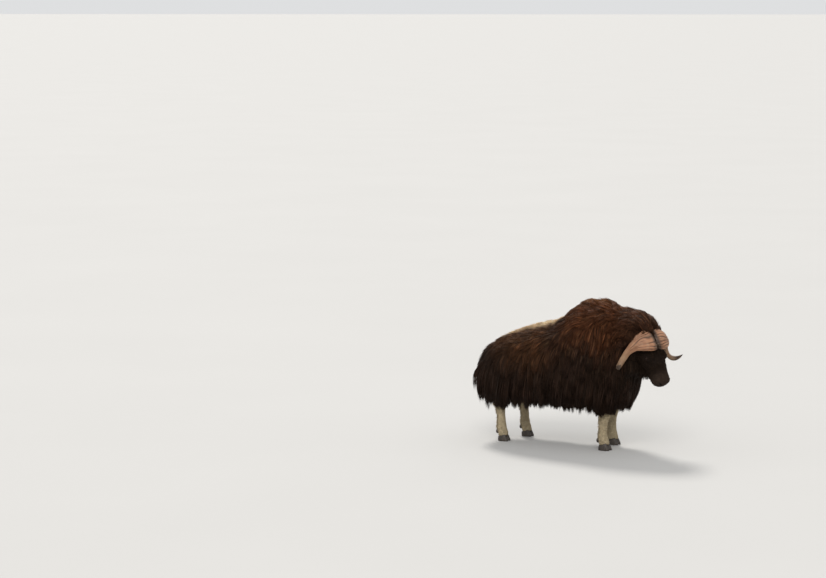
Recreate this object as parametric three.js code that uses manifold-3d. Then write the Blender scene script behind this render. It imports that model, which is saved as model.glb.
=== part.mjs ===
// A muskox bull at life size, standing with its head lowered and turned a little to its right.
// Millimetres: +X is forward, +Y is the animal's left and +Z is up, with the ground at Z = 0.
// Body, neck and head are swept cores that carry the coat as tapered locks, all fused and then parted by
// thin flat cuts. Horns, ears, eyes and tail sit in sockets of their own shape, with a thin gap all round.

import * as THREE from "three";
import { mergeVertices } from "three/addons/utils/BufferGeometryUtils.js";
import Module from "manifold-3d";

const wasm = await Module();
wasm.setup();
const { Manifold, Mesh } = wasm;

// Gap between parts that touch
const GAP = 0.4;

// Where the body is parted, as X along the spine, and the height at which the legs leave it
const LOIN_X = -330;
const SHOULDER_X = 90;
const NECK_X = 650;
const LEG_TOP_Z = 440;

// Carriage of the head: the joint of skull and neck, and how far the face points down and to the right
const POLL = new THREE.Vector3(850, -60, 1090);
const HEAD_PITCH = 52;
const HEAD_YAW = -24;
const HEAD_ROLL = 5;

// Limbs: the middle of each foot on the ground, and the height of a hoof
const FRONT_FEET = { left: [395, 168], right: [455, -165] };
const HIND_FEET = { left: [-560, 178], right: [-640, -180] };
const HOOF_HEIGHT = 56;

// Eyes, in the head's own frame, and the rims of lid round them: how far a rim reaches ahead of and behind
// the eye, how far it stands out, how high it arches over and under, how far it turns, and its section
const EYE_RADIUS = 19;
const EYE = [204, 109, 30];
const LID = { long: 22, proud: 13, over: 19, under: 17, turn: 1.35, wide: 7, thick: 6, taper: 3 };

// The mouth: where its line starts and ends along the face, how far round the face it lies, and its section
const MOUTH = { corner: 0.66, front: 0.985, steps: 5, angle: 2.05, wide: 9, thick: 4.5 };

// The beard: how far its locks fall from the back of the jaw, how much shorter they get towards the chin,
// how far they stand out from the jaw, and their size
const BEARD = { fall: 190, taper: 1 / 3, proud: 40, back: 20, wide: 92, thick: 30 };

// The coat: how far its core lies inside the tips, how deep a lock is rooted, how much locks differ, and the
// widest error that may be smoothed away where locks cross
const CORE_DEPTH = { wide: 60, up: 42, down: 105 };
const NECK_DEPTH = { wide: 50, up: 40, down: 60 };
const CORE_SHARE = { front: 0.935, back: 0.885 };
const ROOT_DEPTH = 26;
const VARIETY = 0.16;
const SLIVER = 1;
const NEEDLE = 0.05;
const QUARTER = Math.PI / 2;
const LEAN_START = 10;

// Ring places along a lock, each with its breadth as a share of the widest
const LOCK_RINGS = [
  { t: 0, breadth: 0.8 },
  { t: 0.38, breadth: 1 },
  { t: 0.76, breadth: 0.62 },
];

const X_AXIS = new THREE.Vector3(1, 0, 0);
const Y_AXIS = new THREE.Vector3(0, 1, 0);
const Z_AXIS = new THREE.Vector3(0, 0, 1);

const COAT = { hair: 0x2a1a10, saddle: 0x8a6a4a, face: 0x1c120c, stocking: 0xa8967c };
const HAIR_ROUGHNESS = 0.95;
const HORN_COLOUR = 0xb08a68;
const HOOF_COLOUR = 0x2b2622;
const EYE_COLOUR = 0x1a0f08;

// A closed body swept along an axis. Each station has its centre and how far the surface reaches from it:
// "wide" along the side direction, and "up" and "down" across it.
class Sweep {
  constructor(stations, { side = Y_AXIS, square = 1, flatEnds = false } = {}) {
    const smooth = (pick) => new THREE.CatmullRomCurve3(stations.map(pick), false, "catmullrom", 0.5);
    this.axis = smooth(({ at }) => new THREE.Vector3(...at));
    this.reach = smooth(({ wide, up, down }) => new THREE.Vector3(wide, up, down ?? up));
    this.side = side;
    this.square = square;
    this.flatEnds = flatEnds;
  }

  // A point of the surface at share t of the length; angle 0 is up, and a quarter turn is the side direction
  point(t, angle, grow = 0) {
    const forward = this.axis.getTangent(t);
    const side = this.side.clone().addScaledVector(forward, -this.side.dot(forward)).normalize();
    const up = forward.clone().cross(side);
    const reach = this.reach.getPoint(t);
    const across = Math.sin(angle);
    const rise = Math.cos(angle);
    const rounded = (value) => Math.sign(value) * Math.abs(value) ** this.square;
    return this.axis
      .getPoint(t)
      .addScaledVector(side, (reach.x + grow) * rounded(across))
      .addScaledVector(up, ((rise > 0 ? reach.y : reach.z) + grow) * rounded(rise));
  }

  // Which way the surface faces, and which way it runs down, at a share t and an angle
  outward(t, angle) {
    return this.point(t, angle, 20).sub(this.point(t, angle)).normalize();
  }

  downhill(t, angle) {
    return this.point(t, angle + Math.sign(angle) * 0.05).sub(this.point(t, angle)).normalize();
  }

  geometry(rings, sides, grow = 0) {
    const first = this.flatEnds ? 0 : 1;
    const last = this.flatEnds ? rings - 1 : rings - 2;
    const forwardAt = (t) => this.axis.getTangent(t).multiplyScalar(grow);
    const points = [this.axis.getPoint(0).sub(forwardAt(0)), this.axis.getPoint(1).add(forwardAt(1))];
    for (let ring = first; ring <= last; ring++) {
      const t = ring / (rings - 1);
      const shift = forwardAt(t).multiplyScalar(ring === 0 ? -1 : ring === rings - 1 ? 1 : 0);
      for (let k = 0; k < sides; k++) {
        points.push(this.point(t, (2 * Math.PI * k) / sides, grow).add(shift));
      }
    }
    const at = (ring, k) => 2 + (ring - first) * sides + (k % sides);
    const faces = [];
    for (let k = 0; k < sides; k++) {
      faces.push(0, at(first, k), at(first, k + 1), 1, at(last, k + 1), at(last, k));
      for (let ring = first; ring < last; ring++) {
        faces.push(at(ring, k), at(ring + 1, k), at(ring + 1, k + 1));
        faces.push(at(ring, k), at(ring + 1, k + 1), at(ring, k + 1));
      }
    }
    return new THREE.BufferGeometry().setFromPoints(points).setIndex(faces);
  }
}

// A three.js geometry as a solid that can be joined and cut
function solid(geometry, placement = new THREE.Matrix4()) {
  const bare = geometry.clone().applyMatrix4(placement);
  bare.deleteAttribute("normal");
  bare.deleteAttribute("uv");
  const { attributes, index } = mergeVertices(bare, 1e-3);
  return new Manifold(
    new Mesh({
      numProp: 3,
      vertProperties: new Float32Array(attributes.position.array),
      triVerts: new Uint32Array(index.array),
    }),
  );
}

const BULGE = { segments: 12, rows: 6 };

const SLOT = { segments: 14, rows: 8 };
const CLAW = { segments: 6, rows: 4 };

function ellipsoid(at, radii, { segments, rows }) {
  return new THREE.SphereGeometry(1, segments, rows).scale(...radii).translate(...at);
}

function joined(solids) {
  return Manifold.union(solids);
}

// The same, without the slivers that locks leave where they cross
function fused(solids) {
  return joined(solids).asOriginal().simplify(SLIVER);
}

// The largest closed surface of a solid, without loose scraps or needle-thin faces
function largest(made) {
  const whole = made.decompose().reduce((best, piece) => (piece.volume() > best.volume() ? piece : best));
  return whole.asOriginal().simplify(NEEDLE);
}

// Body and neck

// Stations out to the tips of the coat
const TRUNK = [
  { at: [-978, 0, 545], wide: 10, up: 10 },
  { at: [-962, 0, 575], wide: 180, up: 120, down: 160 },
  { at: [-905, 0, 635], wide: 275, up: 185, down: 235 },
  { at: [-815, 0, 695], wide: 338, up: 255, down: 305 },
  { at: [-715, 0, 735], wide: 366, up: 308, down: 350 },
  { at: [-600, 0, 765], wide: 380, up: 338, down: 382 },
  { at: [-450, 0, 785], wide: 390, up: 370, down: 402 },
  { at: [-250, 0, 798], wide: 398, up: 418, down: 416 },
  { at: [-50, 0, 805], wide: 404, up: 458, down: 424 },
  { at: [110, 0, 810], wide: 408, up: 552, down: 428 },
  { at: [250, 0, 815], wide: 404, up: 630, down: 430 },
  { at: [380, 0, 820], wide: 390, up: 645, down: 430 },
  { at: [520, 0, 825], wide: 360, up: 612, down: 420 },
  { at: [640, 0, 850], wide: 312, up: 520, down: 400 },
  { at: [740, 0, 860], wide: 235, up: 370, down: 330 },
  { at: [790, 0, 850], wide: 10, up: 10 },
];

const NAPE = [
  { at: [400, 0, 1000], wide: 10, up: 10 },
  { at: [470, 0, 1010], wide: 220, up: 350, down: 300 },
  { at: [560, 0, 1035], wide: 296, up: 372, down: 380 },
  { at: [650, -8, 1055], wide: 300, up: 336, down: 370 },
  { at: [740, -28, 1080], wide: 282, up: 306, down: 360 },
  { at: [820, -50, 1110], wide: 256, up: 282, down: 300 },
  { at: [880, -68, 1130], wide: 215, up: 238, down: 240 },
  { at: [930, -85, 1140], wide: 140, up: 140, down: 150 },
  { at: [960, -95, 1140], wide: 10, up: 10 },
];

// The core of a coat, from the stations of its tips: thinner, and shorter to both sides of its middle
function within(stations, depth, middle) {
  return stations.map(({ at: [x, y, z], wide, up, down = up }) => ({
    at: [middle + (x - middle) * (x > middle ? CORE_SHARE.front : CORE_SHARE.back), y, z],
    wide: Math.max(wide - depth.wide, 8),
    up: Math.max(up - depth.up, 8),
    down: Math.max(down - depth.down, 8),
  }));
}

const TRUNK_COAT = new Sweep(TRUNK, { square: 0.9 });
const TRUNK_CORE = new Sweep(within(TRUNK, CORE_DEPTH, -90), { square: 0.9 });
const NAPE_COAT = new Sweep(NAPE, { square: 0.95 });
const NAPE_CORE = new Sweep(within(NAPE, NECK_DEPTH, 650), { square: 0.95 });

// Head, in its own frame: X towards the nose, Z out of the forehead, the origin at the poll

const toRadians = THREE.MathUtils.degToRad;
const HEAD_PLACE = new THREE.Matrix4()
  .makeTranslation(POLL)
  .multiply(new THREE.Matrix4().makeRotationZ(toRadians(HEAD_YAW)))
  .multiply(new THREE.Matrix4().makeRotationY(toRadians(HEAD_PITCH)))
  .multiply(new THREE.Matrix4().makeRotationX(toRadians(HEAD_ROLL)));

const FACE = new Sweep(
  [
    { at: [-95, 0, -20], wide: 10, up: 10 },
    { at: [-70, 0, -20], wide: 95, up: 78, down: 85 },
    { at: [-10, 0, -25], wide: 130, up: 118, down: 118 },
    { at: [65, 0, -30], wide: 139, up: 126, down: 134 },
    { at: [135, 0, -35], wide: 134, up: 127, down: 130 },
    { at: [205, 0, -38], wide: 120, up: 117, down: 113 },
    { at: [275, 0, -42], wide: 99, up: 98, down: 97 },
    { at: [345, 0, -48], wide: 90, up: 84, down: 86 },
    { at: [405, 0, -54], wide: 87, up: 73, down: 75 },
    { at: [443, 0, -58], wide: 78, up: 61, down: 60 },
    { at: [463, 0, -60], wide: 50, up: 38, down: 38 },
    { at: [472, 0, -60], wide: 10, up: 10 },
  ],
  { square: 0.88 },
);

// One horn: a broad flat boss on the forehead, a shaft down the cheek and a hooked tip
function hornSweep(hand) {
  const stations = [
    { at: [58, 7, 108], wide: 96, up: 24, down: 24 },
    { at: [60, 45, 113], wide: 114, up: 36, down: 30 },
    { at: [61, 105, 102], wide: 110, up: 38, down: 32 },
    { at: [60, 163, 70], wide: 94, up: 37, down: 32 },
    { at: [60, 206, 20], wide: 74, up: 34, down: 30 },
    { at: [70, 234, -38], wide: 56, up: 30, down: 28 },
    { at: [94, 258, -92], wide: 44, up: 27, down: 26 },
    { at: [124, 286, -132], wide: 36, up: 24, down: 24 },
    { at: [154, 320, -148], wide: 29, up: 21, down: 21 },
    { at: [176, 348, -130], wide: 22, up: 18, down: 18 },
    { at: [188, 366, -90], wide: 14, up: 13, down: 13 },
    { at: [192, 376, -42], wide: 3, up: 3, down: 3 },
  ];
  const handed = stations.map(({ at: [x, y, z], ...reach }) => ({ at: [x, hand * y, z], ...reach }));
  return new Sweep(handed, { side: X_AXIS.clone().multiplyScalar(-hand), square: 0.9, flatEnds: true });
}

function horn(hand, grow = 0) {
  return solid(hornSweep(hand).geometry(20, 12, grow), HEAD_PLACE);
}

function ear(hand, grow = 0) {
  const leaf = (reach, shift) =>
    new Sweep(
      [
        { at: [-16 + shift, hand * 105, 8], wide: 6, up: 6 },
        { at: [-24 + shift, hand * 132, 5], wide: 22 * reach, up: 15 * reach },
        { at: [-36 + shift, hand * 168, -5], wide: 34 * reach, up: 15 * reach },
        { at: [-50 + shift, hand * 212, -18], wide: 31 * reach, up: 12 * reach },
        { at: [-62 + shift, hand * 254, -32], wide: 18 * reach, up: 8 * reach },
        { at: [-68 + shift, hand * 278, -38], wide: 3, up: 3 },
      ],
      { side: Z_AXIS.clone().multiplyScalar(hand) },
    );
  const shell = solid(leaf(1, 0).geometry(8, 10, grow), HEAD_PLACE);
  const hollow = solid(leaf(0.72, 9).geometry(7, 8), HEAD_PLACE);
  return grow ? shell : largest(shell.subtract(hollow));
}

function eye(hand, grow = 0) {
  const [x, y, z] = EYE;
  const radius = EYE_RADIUS + grow;
  return solid(ellipsoid([x, hand * y, z], [radius, radius, radius], BULGE), HEAD_PLACE);
}

// A lid: an arc of rounded rim over or under the eye
function lid(hand, rise) {
  const [x, y, z] = EYE;
  const arch = rise > 0 ? LID.over : LID.under;
  const rim = [-1, -0.6, 0, 0.6, 1].map((share) => {
    const turn = share * LID.turn;
    return {
      at: [x + LID.long * Math.sin(turn), hand * (y + LID.proud), z + rise * arch * Math.cos(turn)],
      wide: LID.wide,
      up: LID.thick - LID.taper * share * share,
    };
  });
  return solid(new Sweep(rim).geometry(9, 6), HEAD_PLACE);
}

function nostril(hand) {
  const slot = ellipsoid([0, 0, 0], [24, 8, 13], SLOT).rotateZ(hand * -0.5).translate(456, hand * 34, -34);
  return solid(slot, HEAD_PLACE);
}

// The line of the mouth, cut from corner to corner round the front of the muzzle
function mouth() {
  const { corner, front, steps, angle, wide, thick } = MOUTH;
  const side = (hand) =>
    Array.from({ length: steps }, (_, k) => {
      const t = corner + ((front - corner) * k) / (steps - 1);
      return FACE.point(t, hand * angle).toArray();
    });
  const line = [...side(1), ...side(-1).reverse()];
  const rim = line.map((at) => ({ at, wide, up: thick }));
  return solid(new Sweep(rim, { side: X_AXIS }).geometry(20, 5), HEAD_PLACE);
}

function face() {
  const [x, y, z] = EYE;
  const forms = [
    FACE.geometry(18, 18),
    ellipsoid([x - 6, y - 24, z + 2], [48, 38, 38], BULGE),
    ellipsoid([x - 6, 24 - y, z + 2], [48, 38, 38], BULGE),
    ellipsoid([428, 0, -40], [42, 74, 46], BULGE),
    ellipsoid([402, 0, -112], [52, 52, 26], BULGE),
  ];
  const fleshy = joined(forms.map((form) => solid(form, HEAD_PLACE)));
  const lids = [1, -1].flatMap((hand) => [lid(hand, 1), lid(hand, -1)]);
  return joined([fleshy, ...lids]).subtract(joined([nostril(1), nostril(-1), mouth()]));
}

// Legs and hooves

function legSweep([x, y], isFront) {
  const stations = isFront
    ? [
        { at: [x - 10, y, 640], wide: 80, up: 90 },
        { at: [x, y, 520], wide: 66, up: 72, down: 74 },
        { at: [x + 2, y, 420], wide: 56, up: 60 },
        { at: [x + 4, y, 345], wide: 57, up: 60, down: 52 },
        { at: [x, y, 270], wide: 45, up: 46 },
        { at: [x - 2, y, 190], wide: 42, up: 43, down: 45 },
        { at: [x, y, 120], wide: 49, up: 49, down: 56 },
        { at: [x + 6, y, 84], wide: 50, up: 54, down: 48 },
        { at: [x + 12, y, 50], wide: 53, up: 56, down: 52 },
      ]
    : [
        { at: [x + 60, y, 640], wide: 85, up: 100 },
        { at: [x + 20, y, 530], wide: 66, up: 78, down: 74 },
        { at: [x - 26, y, 430], wide: 55, up: 56, down: 66 },
        { at: [x - 24, y, 340], wide: 45, up: 46, down: 50 },
        { at: [x - 14, y, 220], wide: 41, up: 42, down: 44 },
        { at: [x - 6, y, 130], wide: 47, up: 47, down: 53 },
        { at: [x + 4, y, 86], wide: 47, up: 52, down: 46 },
        { at: [x + 10, y, 50], wide: 50, up: 54, down: 50 },
      ];
  return new Sweep(stations, { flatEnds: true });
}

// A solid cut off flat below and above
function level(made, bottom, top) {
  return made.trimByPlane([0, 0, 1], bottom).trimByPlane([0, 0, -1], -top);
}

function limb(foot, isFront) {
  return solid(legSweep(foot, isFront).geometry(10, 10));
}

function leg(foot, isFront) {
  const [x, y] = foot;
  const dewclaws = [-1, 1].map((hand) => solid(ellipsoid([x - 50, y + hand * 23, 98], [17, 13, 21], CLAW)));
  return level(joined([limb(foot, isFront), ...dewclaws]), HOOF_HEIGHT + GAP, LEG_TOP_Z - GAP / 2);
}

// One toe of a cloven hoof, hand being its side of the foot
function toe([x, y], isFront, hand) {
  const long = isFront ? 66 : 60;
  const wide = isFront ? 27 : 24;
  const middle = y + hand * (wide + 3.5);
  const wall = new Sweep(
    [
      { at: [x + 10, middle, HOOF_HEIGHT + 6], wide: wide - 5, up: long - 18, down: 43 },
      { at: [x + 12, middle, HOOF_HEIGHT / 2], wide: wide - 1, up: long - 6, down: 47 },
      { at: [x + 14, middle, -6], wide, up: long, down: 48 },
    ],
    { flatEnds: true, square: 0.9 },
  );
  return level(solid(wall.geometry(3, 10)), 0, HOOF_HEIGHT);
}

function tail(grow = 0) {
  return solid(
    new Sweep([
      { at: [-762, 0, 885], wide: 8, up: 8 },
      { at: [-800, 0, 908], wide: 28, up: 16 },
      { at: [-848, 0, 890], wide: 38, up: 19 },
      { at: [-890, 0, 842], wide: 38, up: 18 },
      { at: [-916, 0, 788], wide: 24, up: 12 },
      { at: [-926, 0, 752], wide: 3, up: 3 },
    ]).geometry(9, 10, grow),
  );
}

// Coat

// Numbers between 0 and 1 that come out the same each time
function drawsFrom(seed) {
  let state = seed;
  return () => {
    state = (state * 1664525 + 1013904223) % 4294967296;
    return state / 4294967296;
  };
}

const draw = drawsFrom(8);
const vary = (value, share = VARIETY) => value * (1 + share * (2 * draw() - 1));
const stray = (most) => most * (2 * draw() - 1);

// A flat tapered lock from a root to a tip: a ridge on the outside, and a back that lies against the body
function lock({ root, start, tip, end, outward, wide, thick }) {
  const reach = root.distanceTo(tip) / 3;
  const bend = stray(wide / 5);
  const sway = new THREE.Vector3().crossVectors(outward, start).normalize().multiplyScalar(bend);
  const first = root.clone().addScaledVector(start, reach).add(sway);
  const second = tip.clone().addScaledVector(end, -reach).add(sway);
  const curve = new THREE.CubicBezierCurve3(root, first, second, tip);
  const points = LOCK_RINGS.flatMap(({ t, breadth }) => {
    const at = curve.getPoint(t);
    const along = curve.getTangent(t);
    const side = new THREE.Vector3().crossVectors(outward, along).normalize();
    const lift = new THREE.Vector3().crossVectors(along, side);
    const edge = side.multiplyScalar((wide / 2) * breadth);
    return [at.clone().add(edge), at.clone().addScaledVector(lift, thick * breadth), at.clone().sub(edge)];
  });
  const last = points.length - 3;
  const faces = [2, 1, 0];
  for (let k = 0; k < 3; k++) {
    const next = (k + 1) % 3;
    for (let ring = 0; ring < last; ring += 3) {
      faces.push(ring + k, ring + next, ring + 3 + next, ring + k, ring + 3 + next, ring + 3 + k);
    }
    faces.push(last + k, last + next, last + 3);
  }
  return solid(new THREE.BufferGeometry().setFromPoints([...points, tip]).setIndex(faces));
}

// Where the tip of a lock comes to rest: on the coat's outline, or hanging straight down below its widest
function tipPlace(coat, t, angle, thick) {
  const turn = Math.abs(angle);
  if (turn <= QUARTER) {
    return { tip: coat.point(t, angle, -thick / 2), end: coat.downhill(t, angle) };
  }
  const { z: down } = coat.reach.getPoint(t);
  const hand = Math.sign(angle);
  const tip = coat.point(t, hand * QUARTER, -thick / 2);
  tip.z -= down * (turn / QUARTER - 1);
  return { tip, end: new THREE.Vector3(0, 0.08 * hand, -1).normalize() };
}

// A row of locks along one side of a body. Root and tip are quarter turns from the top of the body, "lean"
// is how far the tips lie behind the roots, as a share of the body's length, and "rise" how steeply a lock
// stands up.
function row(core, coat, hand, rule) {
  const { count, from, to, root, tip, wide, thick, lean = 0, rise = 0.35 } = rule;
  return Array.from({ length: count }, (_, k) => {
    const t = from + ((to - from) * (k + 0.5 + stray(0.18))) / count;
    const angle = hand * QUARTER * (root + stray(0.03));
    const depth = vary(thick);
    const hang = tipPlace(coat, t - lean, hand * QUARTER * (tip + stray(0.05)), depth);
    const middle = hand * QUARTER * Math.min((root + tip) / 2, 1);
    const start = core.downhill(t, angle).addScaledVector(core.outward(t, angle), rise);
    return lock({
      root: core.point(t, angle, -ROOT_DEPTH),
      start: start.addScaledVector(X_AXIS, -lean * LEAN_START).normalize(),
      outward: core.outward(t, middle),
      wide: vary(wide),
      thick: depth,
      ...hang,
    });
  });
}

// A curtain of locks that hangs round a bend of the body. Each level is an oval in plan, with its height.
function curtain({ middle: [x, y], facing, spread, count, root, tip, wide, thick }) {
  const heading = toRadians(facing);
  return Array.from({ length: count }, (_, k) => {
    const bearing = toRadians(spread) * ((2 * (k + 0.5 + stray(0.15))) / count - 1);
    const place = (level, inset) => {
      const ahead = (level.long - inset) * Math.cos(bearing);
      const aside = (level.wide - inset) * Math.sin(bearing);
      const east = ahead * Math.cos(heading) - aside * Math.sin(heading);
      const north = ahead * Math.sin(heading) + aside * Math.cos(heading);
      return new THREE.Vector3(x + east, y + north, level.z + stray(18));
    };
    const outward = new THREE.Vector3(Math.cos(bearing + heading), Math.sin(bearing + heading), 0.25);
    return lock({
      root: place(root, ROOT_DEPTH),
      start: outward.clone().multiplyScalar(0.55).add(new THREE.Vector3(0, 0, -1)).normalize(),
      tip: place(tip, 0),
      end: new THREE.Vector3(0, 0, -1),
      outward: outward.normalize(),
      wide: vary(wide),
      thick: vary(thick),
    });
  });
}

// Both sides of the trunk, from short rows along the back to the skirt that almost reaches the ground
const TRUNK_ROWS = [
  { count: 11, from: 0.19, to: 0.92, root: 0.03, tip: 0.36, wide: 150, thick: 40, lean: 0.05, rise: 0.55 },
  { count: 11, from: 0.19, to: 0.92, root: 0.26, tip: 0.78, wide: 180, thick: 42, lean: 0.025, rise: 0.45 },
  { count: 11, from: 0.16, to: 0.92, root: 0.6, tip: 1.36, wide: 178, thick: 44, lean: 0.018 },
  { count: 14, from: 0.12, to: 0.93, root: 0.98, tip: 2.06, wide: 166, thick: 44, lean: 0.01 },
];

const NAPE_ROWS = [
  { count: 4, from: 0.44, to: 0.9, root: 0.03, tip: 0.42, wide: 135, thick: 40, lean: 0.06, rise: 0.6 },
  { count: 4, from: 0.4, to: 0.88, root: 0.36, tip: 1.0, wide: 140, thick: 38, rise: 0.5 },
  { count: 3, from: 0.36, to: 0.84, root: 0.85, tip: 1.7, wide: 150, thick: 40 },
];

const CURTAINS = [
  {
    middle: [-640, 0],
    facing: 180,
    spread: 70,
    count: 6,
    root: { z: 900, long: 150, wide: 240 },
    tip: { z: 690, long: 262, wide: 340 },
    wide: 165,
    thick: 42,
  },
  {
    middle: [-640, 0],
    facing: 180,
    spread: 80,
    count: 6,
    root: { z: 770, long: 195, wide: 275 },
    tip: { z: 505, long: 328, wide: 365 },
    wide: 165,
    thick: 42,
  },
  {
    middle: [-640, 0],
    facing: 180,
    spread: 84,
    count: 6,
    root: { z: 620, long: 215, wide: 285 },
    tip: { z: 352, long: 342, wide: 368 },
    wide: 160,
    thick: 42,
  },
  {
    middle: [560, 0],
    facing: 0,
    spread: 76,
    count: 5,
    root: { z: 800, long: 150, wide: 225 },
    tip: { z: 560, long: 235, wide: 320 },
    wide: 150,
    thick: 42,
  },
  {
    middle: [560, 0],
    facing: 0,
    spread: 82,
    count: 5,
    root: { z: 685, long: 125, wide: 215 },
    tip: { z: 368, long: 212, wide: 325 },
    wide: 150,
    thick: 42,
  },
  {
    middle: [700, -20],
    facing: -8,
    spread: 78,
    count: 5,
    root: { z: 905, long: 110, wide: 165 },
    tip: { z: 600, long: 150, wide: 205 },
    wide: 120,
    thick: 36,
  },
];

function coatLocks() {
  const sides = [1, -1].flatMap((hand) => [
    ...TRUNK_ROWS.flatMap((rule) => row(TRUNK_CORE, TRUNK_COAT, hand, rule)),
    ...NAPE_ROWS.flatMap((rule) => row(NAPE_CORE, NAPE_COAT, hand, rule)),
  ]);
  return [...sides, ...CURTAINS.flatMap((rule) => curtain(rule))];
}

// The beard: locks under the jaw and on the cheeks, which hang straight down whatever the head does
function beard() {
  const rootPlaces = [-1, 1].flatMap((hand) => [
    [10, hand * 96, -95],
    [85, hand * 92, -112],
    [160, hand * 74, -108],
    [235, hand * 52, -98],
  ]);
  return rootPlaces.map(([x, y, z]) => {
    const root = new THREE.Vector3(x, y, z).applyMatrix4(HEAD_PLACE);
    const fall = vary(BEARD.fall - BEARD.taper * x);
    const outward = new THREE.Vector3(0.1, y, -40).transformDirection(HEAD_PLACE);
    return lock({
      root,
      start: outward.clone().multiplyScalar(0.5).add(new THREE.Vector3(0, 0, -1)).normalize(),
      tip: root.clone().addScaledVector(outward, BEARD.proud).add(new THREE.Vector3(-BEARD.back, 0, -fall)),
      end: new THREE.Vector3(0, 0, -1),
      outward,
      wide: vary(BEARD.wide),
      thick: vary(BEARD.thick),
    });
  });
}

// Assembly

const FEET = {
  front_left: [FRONT_FEET.left, true],
  front_right: [FRONT_FEET.right, true],
  hind_left: [HIND_FEET.left, false],
  hind_right: [HIND_FEET.right, false],
};

// Two planes that the head lies in front of: one behind the ears, turned with the head, and one that runs
// down between the jaw and the chest
const HEAD_PLANES = [
  {
    normal: new THREE.Vector3(0.947, 0, 0.32).transformDirection(HEAD_PLACE),
    through: new THREE.Vector3(-118, 0, 150).applyMatrix4(HEAD_PLACE),
  },
  { normal: new THREE.Vector3(0.868, 0, 0.494).normalize(), through: new THREE.Vector3(705, 0, 890) },
];

// The space that belongs to the head. A bigger "grow" moves both planes back.
function headSpace(grow) {
  const room = solid(new THREE.BoxGeometry(1000, 1600, 1400).translate(1000, 0, 950));
  return HEAD_PLANES.reduce(
    (space, { normal, through }) => space.trimByPlane(normal.toArray(), normal.dot(through) - grow),
    room,
  );
}

function between(made, from, to) {
  const front = made.trimByPlane([1, 0, 0], from + GAP / 2);
  return to === undefined ? front : front.trimByPlane([-1, 0, 0], -(to - GAP / 2));
}

function fleshNodes() {
  const guests = (make) => [make(1, GAP), make(-1, GAP)];
  const stumps = Object.values(FEET).map(([foot, isFront]) =>
    limb(foot, isFront).trimByPlane([0, 0, 1], LEG_TOP_Z + GAP / 2),
  );
  const cores = [face(), solid(NAPE_CORE.geometry(12, 18)), solid(TRUNK_CORE.geometry(20, 20))];
  const whole = fused([...cores, ...stumps, ...coatLocks(), ...beard()]);
  const onHead = [...guests(horn), ...guests(ear)];
  const body = whole.subtract(joined([headSpace(GAP / 2), ...onHead, tail(GAP)]));
  return {
    head: whole.intersect(headSpace(-GAP / 2)).subtract(joined([...onHead, ...guests(eye)])),
    neck: between(body, NECK_X),
    forequarters: between(body, SHOULDER_X, NECK_X),
    barrel: between(body, LOIN_X, SHOULDER_X),
    hindquarters: body.trimByPlane([-1, 0, 0], -(LOIN_X - GAP / 2)),
  };
}

function finish(color, roughness, metalness = 0) {
  return new THREE.MeshStandardMaterial({ color, roughness, metalness });
}

function node(name, made, material) {
  const { numProp, vertProperties, triVerts } = largest(made).getMesh();
  const positions = new Float32Array((vertProperties.length / numProp) * 3);
  for (let k = 0; k < positions.length / 3; k++) {
    positions.set(vertProperties.subarray(k * numProp, k * numProp + 3), k * 3);
  }
  const geometry = new THREE.BufferGeometry();
  geometry.setAttribute("position", new THREE.BufferAttribute(positions, 3));
  geometry.setIndex(new THREE.BufferAttribute(new Uint32Array(triVerts), 1));
  const mesh = new THREE.Mesh(geometry, material);
  mesh.name = name;
  return mesh;
}

function muskox() {
  const group = new THREE.Group();
  const hair = finish(COAT.hair, HAIR_ROUGHNESS);
  const ownColour = { head: COAT.face, barrel: COAT.saddle };
  const hooves = finish(HOOF_COLOUR, 0.6);
  for (const [name, made] of Object.entries(fleshNodes())) {
    group.add(node(name, made, finish(ownColour[name] ?? COAT.hair, HAIR_ROUGHNESS)));
  }
  group.add(node("tail", tail(), hair));
  for (const [side, hand] of [["left", 1], ["right", -1]]) {
    group.add(node(`horn_${side}`, horn(hand), finish(HORN_COLOUR, 0.55)));
    group.add(node(`ear_${side}`, ear(hand), hair));
    group.add(node(`eye_${side}`, eye(hand), finish(EYE_COLOUR, 0.1)));
  }
  for (const [name, [foot, isFront]] of Object.entries(FEET)) {
    group.add(node(`leg_${name}`, leg(foot, isFront), finish(COAT.stocking, HAIR_ROUGHNESS)));
    group.add(node(`toe_${name}_left`, toe(foot, isFront, 1), hooves));
    group.add(node(`toe_${name}_right`, toe(foot, isFront, -1), hooves));
  }
  return group;
}

// Stands the group over the middle of its own box
function centred(group) {
  const box = new THREE.Box3().setFromObject(group, true);
  const middle = box.getCenter(new THREE.Vector3());
  group.position.set(-middle.x, -middle.y, -box.min.z);
  return group;
}

export default centred(muskox());
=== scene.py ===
"""A muskox bull at life size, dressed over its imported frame.

Metres throughout. Sizes of flesh, horn and coat are given in the drawing's frame: +X the way the body
faces, +Y the animal's left, +Z up, with the ground at 0. The left eye tells where that frame lies in the
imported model. Skin, coat, horns, eyes and hooves are each built by a class of their own.
"""

import logging
import math
from dataclasses import dataclass
from enum import Enum

import bmesh
import bpy
import numpy as np
from mathutils import Matrix, Vector
from mathutils.bvhtree import BVHTree
from mathutils.kdtree import KDTree


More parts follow.
